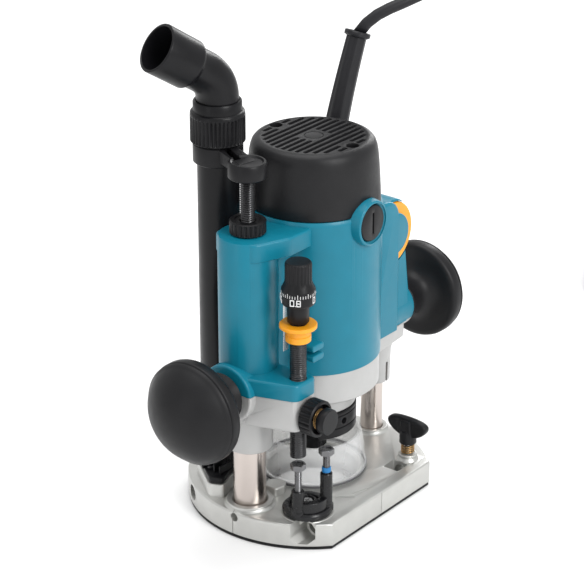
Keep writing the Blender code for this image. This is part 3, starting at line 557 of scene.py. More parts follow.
# Places that shapes are turned about.
CENTRE = (0, 0, 0)
LEFT = (LEFT_X, 0, 0)
RIGHT = (RIGHT_X, 0, 0)
ON_TUBE = (TUBE.x, TUBE.y, 0)
ON_POLE = (POLE.x, POLE.y, 0)
CLAMP = (*at_node("guide_clamp_screw")[:2], 0)
STOPPER = (*at_node("stopper_block")[:2], 0)
FOOT_SCREW = (*at_node("foot_screw")[:2], 0)
GRIPS = (0, 0, 108.0)
BRUSHES = (0, 0, 210.0)
CORD_SOCKET = (48, 25, 0)
SOLE_SCREWS = [around(CENTRE, 68, degrees) for degrees in (30, 150)]

# The turret's posts: where each stands on a circle about its pivot, in degrees, and its height.
POST_CIRCLE = 12.6
BOLT_POSTS = {"short_stop_bolt": (189, 40.0), "tall_stop_bolt": (308, 47.5)}
PLAIN_POST = (69, 28.0)


# ---------------- base and what stands on it


def base_outline(inset=0.0):
    """The arc of the base, closed by its straight front edge."""
    radius = BASE_R - inset
    start = math.degrees(math.asin((EDGE_Y + inset) / radius))
    return arc((BASE_X, 0), radius, start, 180 - start, 110)


def foot_outline():
    corners = [(-58, 56, 5), (-80, 27, 6), (-75, 17, 4), (-62, 22, 3), (-47, 24, 4), (-38, 46, 5)]
    return rounded(corners, steps=6)


def boss(radius, low, high, at, flare=2.2, edge=0.9):
    """A round boss that flares softly into the face it stands on, at z = BASE_TOP."""
    foot = BASE_TOP - 0.4
    profile = [(radius + flare, low), (radius + flare, foot), (radius + flare * 0.45, foot + 0.7)]
    profile += [(radius, foot + flare * 0.9)]
    profile += rounded([(radius, foot + flare), (radius, high, edge), (0, high)], closed=False)[1:]
    return turned(profile, at, steps=96)


def base_shape():
    body = slab(base_outline(), CASTING_Z, BASE_TOP, edge=1.5, low_edge=0.6, steps=4)
    lug = [(-53, -10, 2), (-53, 2, 1), (-44, 3, 2), (-39.5, -2, 1), (-39.5, -8, 1), (-45, -11, 2)]
    join(
        body,
        slab(foot_outline(), 10, FOOT_Z - 0.3, edge=1.0),
        slab(rounded(lug, steps=3), 12, 24.6, edge=1.2),
        boss(LEFT_R + 5.0, 10, 21.6, LEFT),
        boss(RIGHT_R + 3.6, 10, 21.2, RIGHT),
        boss(6.4, 10, 23.0, CLAMP, flare=3.0),
        boss(17.3, 12, 18.75, STOPPER, flare=0.6, edge=0.2),
    )
    return body


def make_base():
    body = base_shape()
    cut(body, rod(31.0, -5, 40, steps=128))
    cut(body, turned([(31.0, 16.9), (32.4, 18.5), (34, 30)], steps=128))
    for y in (-GUIDE_Y, GUIDE_Y):
        cut(body, rod(GUIDE_R, -100, 100, (0, y, GUIDE_Z), "X", 40))
    notch_r, flat = 7.4, 6.84
    cut(body, rod(notch_r, -95, -58, (0, -GUIDE_Y, GUIDE_Z), "X", 8, phase=math.pi / 8))
    cut(body, block((-100, -GUIDE_Y - flat, GUIDE_Z), (-66, -GUIDE_Y + flat, 40)))
    cut(body, slab(rectangle((26.5, -53.4), (39, -41), 1.4), 7, 30))
    for at, radius in ((LEFT, LEFT_R + 0.3), (RIGHT, RIGHT_R + 0.3)):
        cut(body, turned([(radius, 4.5), (radius, 20.6), (radius + 1.6, 22), (radius + 1.6, 40)], at))
    cut(body, rod(2.5, 8, 40, CLAMP, steps=32))
    cut(body, rod(2.3, 6.5, 40, STOPPER, steps=32))
    cut(body, rod(3.0, -2, 6, (-86.5, -1.2, 15.0), "X", 32))
    for at in SOLE_SCREWS:
        cut(body, rod(1.9, -2, 12, at, steps=20))
    centre_marks = [((-87.6, -0.25), (-84.6, 0.25)), ((-4.4, -63), (-3.9, -61.9)), ((72, -0.25), (81, 0.25))]
    for start, end in centre_marks:
        cut(body, slab(rectangle(start, end), -1, 30))
    for at, turn in (((-24.6, -46.4), -52), ((-11.6, -49.3), -16)):
        line = strip(around(at, 6.5, turn + 180), around(at, 6.5, turn), 0.35)
        cut(body, slab(line, 18.2, 20))
    soften(body, 0.25, 38)
    show(body, "base_body", "base", BASE_METAL, ["base_casting"], 30)


def make_sole():
    body = slab(base_outline(0.5), 0, 2.0, edge=0.3)
    cut(body, rod(28.0, -5, 10, steps=128))
    for at in SOLE_SCREWS:
        cut(body, turned([(5.2, -1), (2.3, 1.9), (2.3, 4)], at, steps=40))
    show(body, "sole_pad", "base", BLACK, ["sole_plate"])
    for i, at in enumerate(SOLE_SCREWS, 1):
        screw = turned([(3.5, 0.35), (1.7, 2.3), (1.7, 10.5)], at, steps=40)
        cross_slot(screw, at, 2.6, 0.45, -1, 1.2)
        show(screw, f"sole_pad_screw_{i}", "base", STEEL, [f"sole_screw_{i}"])


def make_columns():
    low, high = span("left_column")
    wall = [(7.6, low), (LEFT_R, low), (LEFT_R, high - 1), (LEFT_R - 1, high), (7.6, high)]
    post = turned(wall, LEFT, steps=128, closed=True)
    show(post, "left_post", "base", CHROME, ["left_column"])
    low, high = span("right_column")
    post = turned([(5.4, low), (RIGHT_R, low), (RIGHT_R, high), (5.4, high)], RIGHT, steps=128, closed=True)
    show(post, "right_post", "base", CHROME, ["right_column"])
    screwed = thread(LEFT, 4.85, 0.85, *span("threaded_rod"), 1.5, 32)
    show(screwed, "height_rod", "base", SCREWED_STEEL, ["threaded_rod"], 60)


def duct(near, far, half_width, low, high, edge=0.0):
    """A box-shaped duct from the tube towards the cutter."""
    here = Vector((TUBE.x, TUBE.y))
    inward = -here.normalized()
    outline = strip(here + inward * near, here + inward * far, half_width)
    return slab(rounded(outline, edge), low, high, edge=edge)


def make_dust_foot():
    low, high = span("dust_foot")
    reach = Vector((TUBE.x, TUBE.y)).length - 37.7
    body = slab(shrunk(foot_outline(), 1.0), low, low + 4.0, edge=0.8)
    tower = [(0, low + 2), (12.6, low + 2.4), (12.0, low + 4), (11.9, 49.2), (11.4, 50.0)]
    join(body, turned(tower, ON_TUBE, steps=216, wave=grooved(36, 0.55, low + 2.6, 49.0, 2)))
    join(body, rod(11.5, 40, high, ON_TUBE), duct(0, reach, 10, low, 43, 1.0))
    for y in (24, 29, 34, 39):
        join(body, block((-70.5, y, low + 3), (-58, y + 1.3, low + 9.5), 0.3))
    cut(body, rod(8.6, low + 2.5, 80, ON_TUBE), duct(-6, reach + 5, 7, low + 2.5, 41))
    cut(body, rod(4.6, low + 4.0, 60, FOOT_SCREW))
    soften(body, 0.2, 40)
    show(body, "dust_foot_moulding", "base", TUBE_BLACK, ["dust_foot"], 34)
    screw = socket_screw(*span("foot_screw"), FOOT_SCREW, 2.1, 0.7, 1.5, 1.4)
    show(screw, "foot_fixing_screw", "base", BLACK_STEEL, ["foot_screw"])


def make_pipe():
    low, high = span("dust_tube")
    wall = [(11.9, low), (13.3, low), (TUBE_R, low + 0.8), (TUBE_R, high - 0.5), (TUBE_R - 0.4, high)]
    wall += [(11.9, high)]
    pipe = turned(wall, ON_TUBE, steps=112, closed=True)
    show(pipe, "dust_pipe", "base", TUBE_BLACK, ["dust_tube"])


def make_tube_arm():
    low = span("tube_arm")[0]
    cap = [(11.9, 251.5), (12.5, 252.2), (12.5, 260.9), (11.7, 262.2), (10.6, 262.2), (9.6, 261.2)]
    collar = [(15.6, low), (16.4, low + 0.8), (16.4, 261.0), (15.6, 261.8)]
    groove = [(-71.5, 8), (-66.4, 6.4), (-54.6, 28), (-58.6, 29)]
    body = turned(cap + [(0, 260.7)], LEFT, steps=96)
    join(body, slab([(-75.2, 1), (-62.2, -2), (-44.5, 36), (-58, 39)], 252.6, 261.4, edge=0.8))
    join(body, turned(collar, ON_TUBE, steps=96))
    cut(body, slab(rounded(groove, 0.8), 254.6, 270))
    cut(body, rod(TUBE_R + 0.3, 200, 300, ON_TUBE, steps=96), rod(5.1, 200, 257.3, LEFT, steps=48))
    soften(body, 0.25, 38)
    show(body, "tube_arm_moulding", "base", BLACK, ["tube_arm"], 34)


def make_clear_guard():
    low = span("clear_guard")[0]
    outside = [(37.1, low), (37.1, 22.2), (36.2, 23), (35.6, 35), (33.6, 46.2), (33.2, 46.8)]
    inside = [(31.6, 46.8), (31.3, 46.2), (33.4, 35), (33.7, 23), (33.7, low)]
    body = turned(outside + inside, steps=144, closed=True)
    cut(body, duct(15, 45, 7, FOOT_Z + 2.5, 41))
    show(body, "clear_cup", "base", CLEAR_WITH_PAINTED_SHEEN, ["clear_guard"], 40)
    seal = [(35.9, low + 0.2), (37.3, low + 0.2), (37.5, low + 1.6), (36.1, low + 2.0)]
    show(turned(seal, steps=144, closed=True), "cup_seal", "base", GREY, (), 40)


def make_stop_bolt(name, angle):
    """A stop bolt: screwed shank, hexagon head with a turned chamfer."""
    low, high = span(name)
    at = around(STOPPER, POST_CIRCLE, angle)
    head = rod(5.3, high - 4.0, high, at, steps=6)
    chamfer = [(4.55, high - 4.3), (6.0, high - 3.3), (6.0, high - 1.1), (4.4, high + 0.05)]
    keep_inside(head, turned(chamfer, at))
    cut(head, turned([(3.2, high - 0.9), (3.7, high + 1)], at, steps=48))
    piece = merged(head, thread(at, 2.4, 0.32, low, high - 3.6, 0.9, 24))
    show(piece, name + "_steel", name, BOLT_STEEL, [name], 40)


def make_turret():
    low = span("stopper_block")[0]
    disc = [(16.0, low), (16.6, low + 0.6), (16.6, 22.2), (15.4, 23.5), (11.6, 23.5), (10.8, 23.0)]
    body = turned(disc, STOPPER, steps=112)
    for angle, top in (*BOLT_POSTS.values(), PLAIN_POST):
        post = [(4.9, 20), (4.9, 23.8), (4.3, 24.9), (4.1, 26.0), (4.1, top - 0.6), (3.6, top)]
        join(body, turned(post, around(STOPPER, POST_CIRCLE, angle), steps=64))
    join(body, slab(band(STOPPER, 13.8, 8.6, 205, 292, 20), 21, 30.5, edge=0.5))
    join(body, rod(6.2, 21, 27.0, STOPPER, edge=0.6))
    join(body, slab(band(STOPPER, 14.2, 9.2, 322, 419, 24), 21, 25.6, edge=0.5))
    for angle, _ in BOLT_POSTS.values():
        cut(body, rod(2.7, 25.5, 80, around(STOPPER, POST_CIRCLE, angle), steps=32))
    cut(body, rod(4.8, 23.5, 40, STOPPER, steps=48), rod(2.4, 10, 40, STOPPER, steps=32))
    soften(body, 0.2, 38)
    show(body, "stopper_turret", "stopper", BLACK_STEEL, ["stopper_block"], 34)


def make_lock_patch():
    """The blue thread-lock on the tall bolt."""
    at = around(STOPPER, POST_CIRCLE, BOLT_POSTS["tall_stop_bolt"][0])
    profile = [(2.45, 48.2), (3.0, 48.2), (3.15, 48.6), (3.1, 51.0), (2.9, 51.6), (2.45, 51.7)]
    patch = turned(profile, at, steps=48, closed=True)
    show(patch, "thread_lock_patch", "tall_stop_bolt", BLUE, ())


def make_stopper_pivot():
    pivot = [(2.0, 8), (2.0, 23.8), (4.4, 23.8), (4.4, 25.4), (3.4, 26.4)]
    screw = turned(pivot, STOPPER, steps=56)
    cross_slot(screw, STOPPER, 2.6, 0.4, 25.0, 28)
    show(screw, "stopper_pivot_screw", "base", STEEL, ["stopper_pivot"])


def make_guide_clamp():
    x, y, _ = CLAMP
    shank = thread(CLAMP, 2.2, 0.3, 16.6, 33, 0.8, 24)
    body = turned([(5.6, 31), (6.0, 31.6), (5.7, 38.5), (5.0, 40.5)], CLAMP)
    wing = []
    for i in range(64):
        a = 2 * math.pi * i / 64
        wing.append((y + 16.0 * math.cos(a), 44.0 + 7.3 * math.sin(a) + 1.2 * math.cos(2 * a)))
    stem = rounded([(y - 5.0, 34), (y + 5.0, 34), (y + 4.2, 48.5), (y - 4.2, 48.5)], 1.5)
    join(body, slab(wing, x - 2.9, x + 2.9, "X", edge=1.6, steps=5))
    join(body, slab(stem, x - 4.3, x + 4.3, "X", edge=1.2))
    soften(body, 0.5, 30, 3)
    show(body, "wing_grip", "guide_clamp_screw", BLACK, ["guide_clamp_screw"], 50)
    show(shank, "wing_screw_shank", "guide_clamp_screw", STEEL, ())
    spring = coil_of_wire(CLAMP, 4.2, 0.55, 23.7, 30.4, 4.5, 32)
    show(spring, "wing_spring", "base", BRASS, ["clamp_spring"], 60)


def make_limit_nut():
    low, high = 214.0, 223.0
    lobes = 22
    profile = [(5.3, low), (11.2, low), (11.9, low + 0.8), (11.9, low + 1.2), (11.9, high - 1.2)]
    profile += [(11.9, high - 0.8), (11.0, high), (8.6, high), (8.0, high - 0.7), (5.3, high - 0.7)]
    flutes = grooved(lobes, 0.9, low + 0.9, high - 0.9, 2)
    body = turned(profile, LEFT, steps=lobes * 10, closed=True, wave=flutes)
    show(body, "knurled_stop_nut", "limit_nut", BLACK, ["limit_nut"], 40)


# ---------------- vacuum elbow


MOUTH_WAY = Vector((-0.775, 0.32, 0.546)).normalized()
BEND_R = 22.0


def make_collar():
    low, high = span("nozzle_collar")
    count = 40
    profile = [(14.25, low), (17.0, low), (17.9, low + 0.8), (17.9, low + 1.7), (17.9, 279.1), (17.9, 280.2)]
    profile += [(17.7, 282.2), (17.1, 283.0), (16.0, 283.3), (15.9, 284.2), (15.9, high - 0.9), (15.3, high)]
    ribs = grooved(count, 1.0, low + 1.6, 279.2, 1.5)
    collar = turned(profile + [(14.25, high)], ON_TUBE, steps=count * 8, closed=True, wave=ribs)
    show(collar, "ribbed_collar", "nozzle_collar", TUBE_BLACK, ["nozzle_collar"], 40)


def make_elbow():
    """A pipe that goes up, bends towards its mouth and ends in a wider sleeve."""
    up = Vector((0, 0, 1))
    corner = Vector((TUBE.x, TUBE.y, 303.5))
    angle = up.angle(MOUTH_WAY)
    reach = BEND_R * math.tan(angle / 2)
    side = (MOUTH_WAY - up * up.dot(MOUTH_WAY)).normalized()
    centre = corner - up * reach + side * BEND_R
    path = [Vector((TUBE.x, TUBE.y, 275.0)), Vector((TUBE.x, TUBE.y, 280.0)), corner - up * reach]
    for i in range(1, 18):
        a = angle * i / 18
        path.append(centre - side * BEND_R * math.cos(a) + up * BEND_R * math.sin(a))
    path.append(corner + MOUTH_WAY * reach)
    radii = [(13.9, 11.9)] * len(path)
    # Each is a distance past the corner, the outside there and the bore there.
    sleeve = [(20.6, 13.9, 11.9), (21.6, 14.3, 11.9), (23.4, 16.0, 12.2), (24.2, 16.3, 12.6)]
    sleeve += [(25.4, 16.35, 14.0), (37.0, 16.45, 14.4), (49.2, 16.6, 14.6), (50.0, 16.4, 14.7)]
    sleeve += [(50.3, 15.9, 15.1)]
    for distance, outer, bore in sleeve:
        path.append(corner + MOUTH_WAY * distance)
        radii.append((outer, bore))
    elbow = swept(path, radii, 112)
    show(elbow, "elbow_pipe", "nozzle_elbow", TUBE_BLACK, ["nozzle_elbow"], 34)


# ---------------- head: housing and casting

# The housing stands on the casting at three heights: left of the barrel, right of it, and the barrel.
SPLITS = ((-130, -44.0, LEFT_SPLIT), (44.0, 130, RIGHT_SPLIT), (-44.5, 44.5, BARREL_SPLIT))


def shelf_outline():
    corners = [(-89, -14, 4), (-78, -47.3, 7), (-56.6, -47.3, 6), (-56.6, -8, 0), (-80, 4, 0)]
    return rounded(corners, steps=8)


def right_rear_outline():
    """Side view of the right grip housing behind its front panel: rounded over the speed dial."""
    over_dial = arc((DIAL.x, DIAL.z), 20.5, -38, 90, 24, high=25.0)
    return [(35, 96), (87.6, 96), (88.6, 108), (88.8, 124)] + over_dial + [(35, 197.2)]


def grip_seat(axis):
    """The round seat of a grip: the left one is wider and shorter."""
    radius, reach, edge = {"-X": (20.0, 92, 2.0), "X": (17.0, 95, 1.6)}[axis]
    return rod(radius, 60, reach, GRIPS, axis, 96, edge)


def bolt_hole(axis):
    """The hole of a grip's bolt."""
    return rod(4.4, {"-X": 83, "X": 84}[axis], 100, GRIPS, axis, 24)


def housing_shape():
    split = LEFT_SPLIT + 0.3
    barrel = [(BARREL_R, 103), (BARREL_R, 212.4), (45.2, 214.2), (44.3, HOUSING_TOP)]
    body = turned(barrel, steps=160)
    tower = [(TOWER_R, 100), (TOWER_R, TOWER_TOP - 2.2), (TOWER_R - 0.7, TOWER_TOP - 0.6)]
    join(body, turned(tower + [(TOWER_R - 2.2, TOWER_TOP)], LEFT, steps=112))
    roof = rounded([(-84, -16, 9), (-58, -26.5, 10), (-30, -26.5, 0), (-30, 19, 0), (-80, 19, 6)], steps=8)
    join(body, slab(roof, 200.5, TOWER_TOP - 0.35, edge=1.8, low_edge=0.8, steps=4))
    join(body, slab([(-72, -13), (-30, -15), (-30, 18.6), (-72, 18.6)], 100, TOWER_TOP - 1.0, edge=1.2))
    join(body, slab(shelf_outline(), split - 4, SHELF_TOP, edge=2.2, low_edge=0.2, steps=5))
    panel = rounded([(36, 95, 0), (71.5, 95, 2), (71.5, 199.0, 18), (36, 199.0, 0)], steps=14)
    join(body, grip_seat("-X"))
    join(body, slab(panel, -20, 6, "Y", edge=2.2, low_edge=2.6, steps=5))
    join(body, slab(right_rear_outline(), -16, 20.6, "Y", edge=4.0, low_edge=1.6, steps=5))
    join(body, grip_seat("X"))
    dial_cover = circle((DIAL.x - 1.2, DIAL.z + 0.6), 15.0, 96)
    join(body, slab(dial_cover, -20.0, -16.4, "Y", edge=0.2, low_edge=1.4))
    for axis in ("-Y", "Y"):
        ring = [(17.2, 24), (16.4, 40), (15.6, 46.4), (15.0, 48.4), (14.2, 49.0)]
        join(body, turned(ring, BRUSHES, axis, 96))
    cord_boss = [(9.0, 186), (12.6, 196), (12.6, 213.8), (11.8, 215.2)]
    join(body, turned(cord_boss, CORD_SOCKET))
    for top in (139.6, 132.4):
        pill = rectangle((-54.2, top - 4.6), (-42.2, top), 2.3, 8)
        join(body, slab(pill, -41.6, -30, "Y", edge=0.6, low_edge=0.8))
    return body


def make_motor_housing():
    body = housing_shape()
    for x_low, x_high, z in SPLITS:
        cut(body, block((x_low, -120, -50), (x_high, 120, z + 0.3)))
    wide, narrow = LEFT_R + 1.0, 5.65
    brush_bore = [(13.6, -60), (13.6, -48.0), (12.6, -47.2), (12.6, -44.6), (5.3, -44.6)]
    brush_bore += [(radius, -distance) for radius, distance in reversed(brush_bore)]
    cut(
        body,
        rod(41.5, 90, 240, steps=144),
        turned([(wide, 90), (wide, 205.5), (narrow, 205.5), (narrow, 220)], LEFT),
        rod(RIGHT_R + 1.0, 90, 178, RIGHT),
        rod(5.75, 90, 140, ON_POLE, steps=56),
        rod(23.2, 10.6, 16.4, (DIAL.x, 0, DIAL.z), "-Y", 128),
        rod(2.9, 16, 19.0, (DIAL.x, 0, DIAL.z), "-Y", 24),
        turned(brush_bore, BRUSHES, "Y", 96),
        rod(10.2, 203, 230, CORD_SOCKET, steps=72),
        block((30, 9.6, 112), (58.4, 17.6, 150)),
        block((54.5, 9.9, 152), (65.5, 30, 172)),
        bolt_hole("-X"),
        bolt_hole("X"),
    )
    for y in (-CAP_SCREW_Y, CAP_SCREW_Y):
        cut(body, rod(2.2, 214, 240, (0, y, 0), steps=24))
    for i in range(6):
        for x_low, x_high in ((-30, -6), (8, 30)):
            vent = rectangle((x_low, 150 + i * 7.0), (x_high, 153 + i * 7.0), 1.4)
            cut(body, slab(vent, 40, 60, "Y"))
    soften(body, 0.9, 32, 4)
    show(body, "teal_shell", "head", TEAL, ["motor_housing"], 40)


def casting_shape():
    body = turned([(43.6, 85.5), (44.8, 86.6), (44.8, 112)], steps=160)
    neck = [(0, 69), (28.0, 69.6), (29.2, 70.6), (29.5, 71.4), (29.5, 80), (31.0, 84), (34, 86.2), (34, 92)]
    sleeve = [(18.6, 86.6), (19.9, 87.8), (20.2, 90), (20.2, 114)]
    spout = [(14.9, 62.0), (15.6, 62.7), (15.7, 70), (16.4, 80), (18.0, 86), (18.0, 95)]
    web = [(-72, -14), (-34, -18), (-34, 19), (-72, 19)]
    cheek = rounded([(34, -20, 0), (86.5, -15.6, 5), (86.5, 20, 5), (34, 20, 0)], steps=6)
    small_spout = [(12.0, 58.6), (12.6, 59.2), (12.7, 70), (13.2, 82), (14.6, 88), (14.6, 95)]
    join(
        body,
        turned(neck, steps=128),
        slab(shrunk(shelf_outline(), 0.4), SHELF_BOTTOM, LEFT_SPLIT + 2, edge=0.2, low_edge=2.0, steps=5),
        turned(sleeve, LEFT, steps=112),
        turned(spout, LEFT, steps=112),
        slab(web, 87.2, LEFT_SPLIT + 4, edge=0.2, low_edge=1.6),
        grip_seat("-X"),
        slab(cheek, 88.5, RIGHT_SPLIT + 2, edge=0.2, low_edge=2.0),
        turned(small_spout, RIGHT, steps=96),
        grip_seat("X"),
    )
    return body


def make_head_casting():
    body = casting_shape()
    for x_low, x_high, z in SPLITS:
        cut(body, block((x_low, -120, z), (x_high, 120, 300)))
    cut(body, rod(38.5, 98, 121, steps=96), rod(16.3, 91.7, 122), rod(10.5, 60, 110))
    for at, bore, seat, low in ((LEFT, LEFT_R + 0.8, 13.4, 65.7), (RIGHT, RIGHT_R + 0.8, 10.2, 61.7)):
        profile = [(bore + 1.0, 50), (bore + 1.0, low - 3.0), (bore, low - 2.0), (bore, low), (seat, low)]
        profile += [(seat, low + 18.6), (bore, low + 18.6), (bore, 130)]
        cut(body, turned(profile, at, steps=96))
    cut(
        body,
        rod(5.75, 70, 130, ON_POLE, steps=56),
        rod(3.4, 39.5, 60, (POLE.x, 0, NUT.z), "-Y", 24),
        bolt_hole("-X"),
        bolt_hole("X"),
        block((-5.4, -28.5, 60), (5.4, -16, 78.4)),
        rod(4.3, 5, 30, (LEFT_X, 0, 95), "Y", 24),
        block((RIGHT_X - 1.1, -16, 50), (RIGHT_X + 1.1, -9.5, 74), 0.4),
    )
    soften(body, 0.7, 32, 3)
    show(body, "head_body", "head", SILVER, ["head_casting"], 40)


GRILLE_R, BAR_PITCH, SLOT = 33.6, 5.1, 3.1


def grille_slots():
    """Each slot's y, and its two ends: slots stop short of the hub and of the screws."""
    found = []
    for i in range(13):
        y = -30.6 + BAR_PITCH * i
        half = math.sqrt(max(0.0, GRILLE_R**2 - y**2))
        gap = 9.5 if abs(y) < 9.0 else 0
        if abs(abs(y) - CAP_SCREW_Y) < 6.5:
            gap = 5.6
        stretches = [(-half, -gap), (gap, half)] if gap else [(-half, half)]
        found += [(y, start, end) for start, end in stretches if end - start >= 4]
    return found


def make_motor_cap():
    low, top = span("motor_cap")
    outer = [(33.5, top), (36.6, top - 0.55), (38.9, top - 1.7), (40.5, top - 3.6), (41.5, top - 6.4)]
    outer += [(42.2, top - 10), (43.0, top - 18), (43.6, top - 27), (44.1, top - 36), (44.3, low + 0.8)]
    inner = [(43.8, low), (41.2, low), (39.4, 250), (36.5, 256.4), (14.4, 256.4), (14.4, 240)]
    body = turned(outer + inner + [(11.3, 240), (11.3, 256.4)], steps=160)
    cut(body, turned([(35.2, top - 0.45), (35.2, top + 5)], steps=144))
    for y, start, end in grille_slots():
        cut(body, slab(rectangle((start, y - SLOT / 2), (end, y + SLOT / 2), 1.2), top - 2.9, top + 5))
    for y in (-CAP_SCREW_Y, CAP_SCREW_Y):
        cut(body, rod(4.4, 255.0, 270, (0, y, 0), steps=48), rod(3.7, 240, 270, (0, y, 0), steps=48))
    for axis in ("-Y", "Y"):
        cut(body, rod(15.4, 30, 60, BRUSHES, axis, 96))
    ring = [(6.6, top - 0.9), (6.6, top + 2), (6.0, top + 2), (6.0, top - 0.9)]
    cut(body, turned(ring, closed=True, steps=96))
    soften(body, 0.3, 36)
    show(body, "cap_moulding", "head", CAP_BLACK, ["motor_cap"], 36)


def make_cap_screws():
    for name, y in (("front_cap_screw", -CAP_SCREW_Y), ("rear_cap_screw", CAP_SCREW_Y)):
        screw = socket_screw(217.5, 256.4, (0, y, 0), 2.8, 0.8, 1.4, 1.8)
        show(screw, name + "_steel", "head", BLACK_STEEL, [name])


# ---------------- handles, depth stop, controls


def make_handle(name, axis):
    profile = [(4.0, 84.0), (4.0, 95.3), (16.0, 95.3), (16.5, 96.0), (15.6, 98.5), (14.4, 103), (14.1, 108)]
    profile += [(14.9, 111.8), (17.4, 115), (21.4, 117.3), (25.6, 118.4), (30.6, 118.3), (33.0, 118.7)]
    profile += [(34.4, 119.8), (35.0, 121.6), (35.0, 126.2), (34.7, 127.0), (34.1, 127.35), (34.1, 127.9)]
    profile += [(34.55, 128.3), (34.4, 129.2)]
    ball, dome_foot, dome_top = 38.85, 34.2, 149.0
    for i in range(1, 20):
        a = math.asin(dome_foot / ball) * (1 - i / 20)
        profile.append((ball * math.sin(a), dome_top - ball + ball * math.cos(a)))
    body = turned(profile + [(0, dome_top)], GRIPS, axis, 128)
    show(body, name + "_grip", "head", SOFT_BLACK, [name], 40)


# The bars that make each numeral: a is the top one, then clockwise round to f, and g in the middle.
SEGMENTS = {
    "0": "abcdef", "1": "bc", "2": "abged", "3": "abgcd", "4": "fgbc", "5": "afgcd", "6": "afgedc",
    "8": "abcdefg", ".": ".",
}


def numeral(character, at, right, up, out, size, thick):
    """A generic numeral from raised bars. right, up and out are its directions on the surface."""
    half = size * 0.3
    bars = {
        "a": ((-half, size), (half, size)), "b": ((half, size / 2), (half, size)),
        "c": ((half, 0), (half, size / 2)), "d": ((-half, 0), (half, 0)),
        "e": ((-half, 0), (-half, size / 2)), "f": ((-half, size / 2), (-half, size)),
        "g": ((-half, size / 2), (half, size / 2)), ".": ((-0.01, 0), (0.01, 0)),
    }
    made = []
    for segment in SEGMENTS[character]:
        start, end = (at + right * x + up * y for x, y in bars[segment])
        longer = (end - start).normalized() * thick * 0.45
        made.append(bar(start - longer, end + longer, out, thick, -0.15, 0.12))
    return made


def make_pole():
    low, high = span("stopper_pole")
    pole = merged(
        thread(ON_POLE, 5.5, 0.6, low, 126, 1.5, 40),
        thread(ON_POLE, 5.5, 0.6, 125.8, 160.5, 1.5, 40),
        turned([(3.0, 150), (3.0, high - 0.8), (2.2, high)], ON_POLE, steps=40),
    )
    show(pole, "stop_pole_screwed", "stopper_pole", SCREWED_STEEL, ["stopper_pole"], 60)


KNOB_BAND_R = 11.1


def make_knob():
    flutes = 22
    knob = [(3.4, 175.5), (3.4, 162.3), (6.6, 162.3), (7.1, 162.9), (7.1, 174.8), (10.4, 175.2)]
    knob += [(11.0, 176.2), (KNOB_BAND_R, 176.9), (KNOB_BAND_R, 185.1), (10.9, 185.9), (9.5, 188.4)]
    knob += [(8.9, 190.2), (8.7, 191.5), (8.7, 202.2), (8.4, 203.1), (7.6, 203.8), (0, 203.9)]
    body = turned(knob, ON_POLE, steps=flutes * 8, wave=grooved(flutes, 0.5, 190.5, 202.5, 2))
    show(body, "fine_knob", "depth_knob", BLACK, ["depth_knob"], 40)


def make_knob_print():
    """Marks all round the knob's wide band, every fourth one longer, and numerals under them."""
    up = Vector((0, 0, 1))
    print_marks = []
    for k in range(40):
        out = Vector(around(CENTRE, 1, k * 9))
        foot = Vector((POLE.x, POLE.y, 182.0)) + out * KNOB_BAND_R
        print_marks.append(bar(foot, foot + up * (2.0 if k % 4 else 3.0), out, 0.32, -0.2, 0.06))
    for k, character in enumerate("02468"):
        out = Vector(around(CENTRE, 1, -80 + k * 72))
        right = up.cross(out)
        foot = Vector((POLE.x, POLE.y, 177.4)) + out * KNOB_BAND_R
        label = "0" if character == "0" else "0." + character
        for i, glyph in enumerate(label):
            at = foot + right * 2.1 * (i - (len(label) - 1) / 2)
            print_marks += numeral(glyph, at, right, up, out, 3.8, 0.55)
    show(merged(*print_marks), "knob_scale_print", "depth_knob", WHITE, ())


def make_pointer():
    low, high = span("depth_pointer")
    pointer = [(5.75, low), (8.0, low), (8.4, low + 0.5), (8.4, 153.2), (7.9, 153.6), (7.9, 157.2)]
    pointer += [(8.4, 157.9), (11.7, 158.2), (12.2, 158.7), (12.2, high - 0.5), (11.7, high), (5.75, high)]
    flange = turned(pointer, ON_POLE, steps=112, closed=True)
    show(flange, "stop_pointer_ring", "depth_pointer", ORANGE, ["depth_pointer"], 36)


def make_scale_plate():
    plate = block(*zip(*(span("scale_plate", axis) for axis in "xyz")), 0.25)
    show(plate, "depth_scale", "head", STEEL, ["scale_plate"])


def make_setting_nut():
    at = (NUT.x, 0, NUT.z)
    flutes, radius, bore, near, far = 20, 12.3, 3.6, 48.2, 58.4
    profile = [(bore, near), (radius - 0.9, near), (radius, near + 0.81), (radius, near + 1.08)]
    profile += [(radius, far - 1.08), (radius, far - 0.81), (radius - 0.9, far), (bore, far)]
    wave = grooved(flutes, 0.95, near + 0.9, far - 0.9, 2)
    body = turned(profile, at, "-Y", flutes * 8, closed=True, wave=wave)
    recess = [(3.4, far - 5.6), (9.9, far - 5.6), (10.4, far + 2), (3.4, far + 2)]
    cut(body, turned(recess, at, "-Y", 96, closed=True))
    show(body, "setting_nut_knurled", "setting_nut", BLACK, ["setting_nut"], 40)


def make_feed_button():
    """The button in the middle of the nut, with the spring that rides on it."""
    at = (NUT.x, 0, NUT.z)
    stem = [(3.1, 49), (3.1, 59.9), (8.2, 59.9), (8.7, 60.5), (8.7, 65.0), (8.1, 65.8), (0, 66.0)]
    button = turned(stem, at, "-Y", 96)
    show(button, "feed_button_cap", "feed_button", BLACK, ["feed_button"], 40)
    spring = coil_of_wire(at, 6.6, 0.45, 56.4, 59.6, 2.6, 36, "-Y")
    show(spring, "button_spring", "feed_button", BRASS, (), 60)


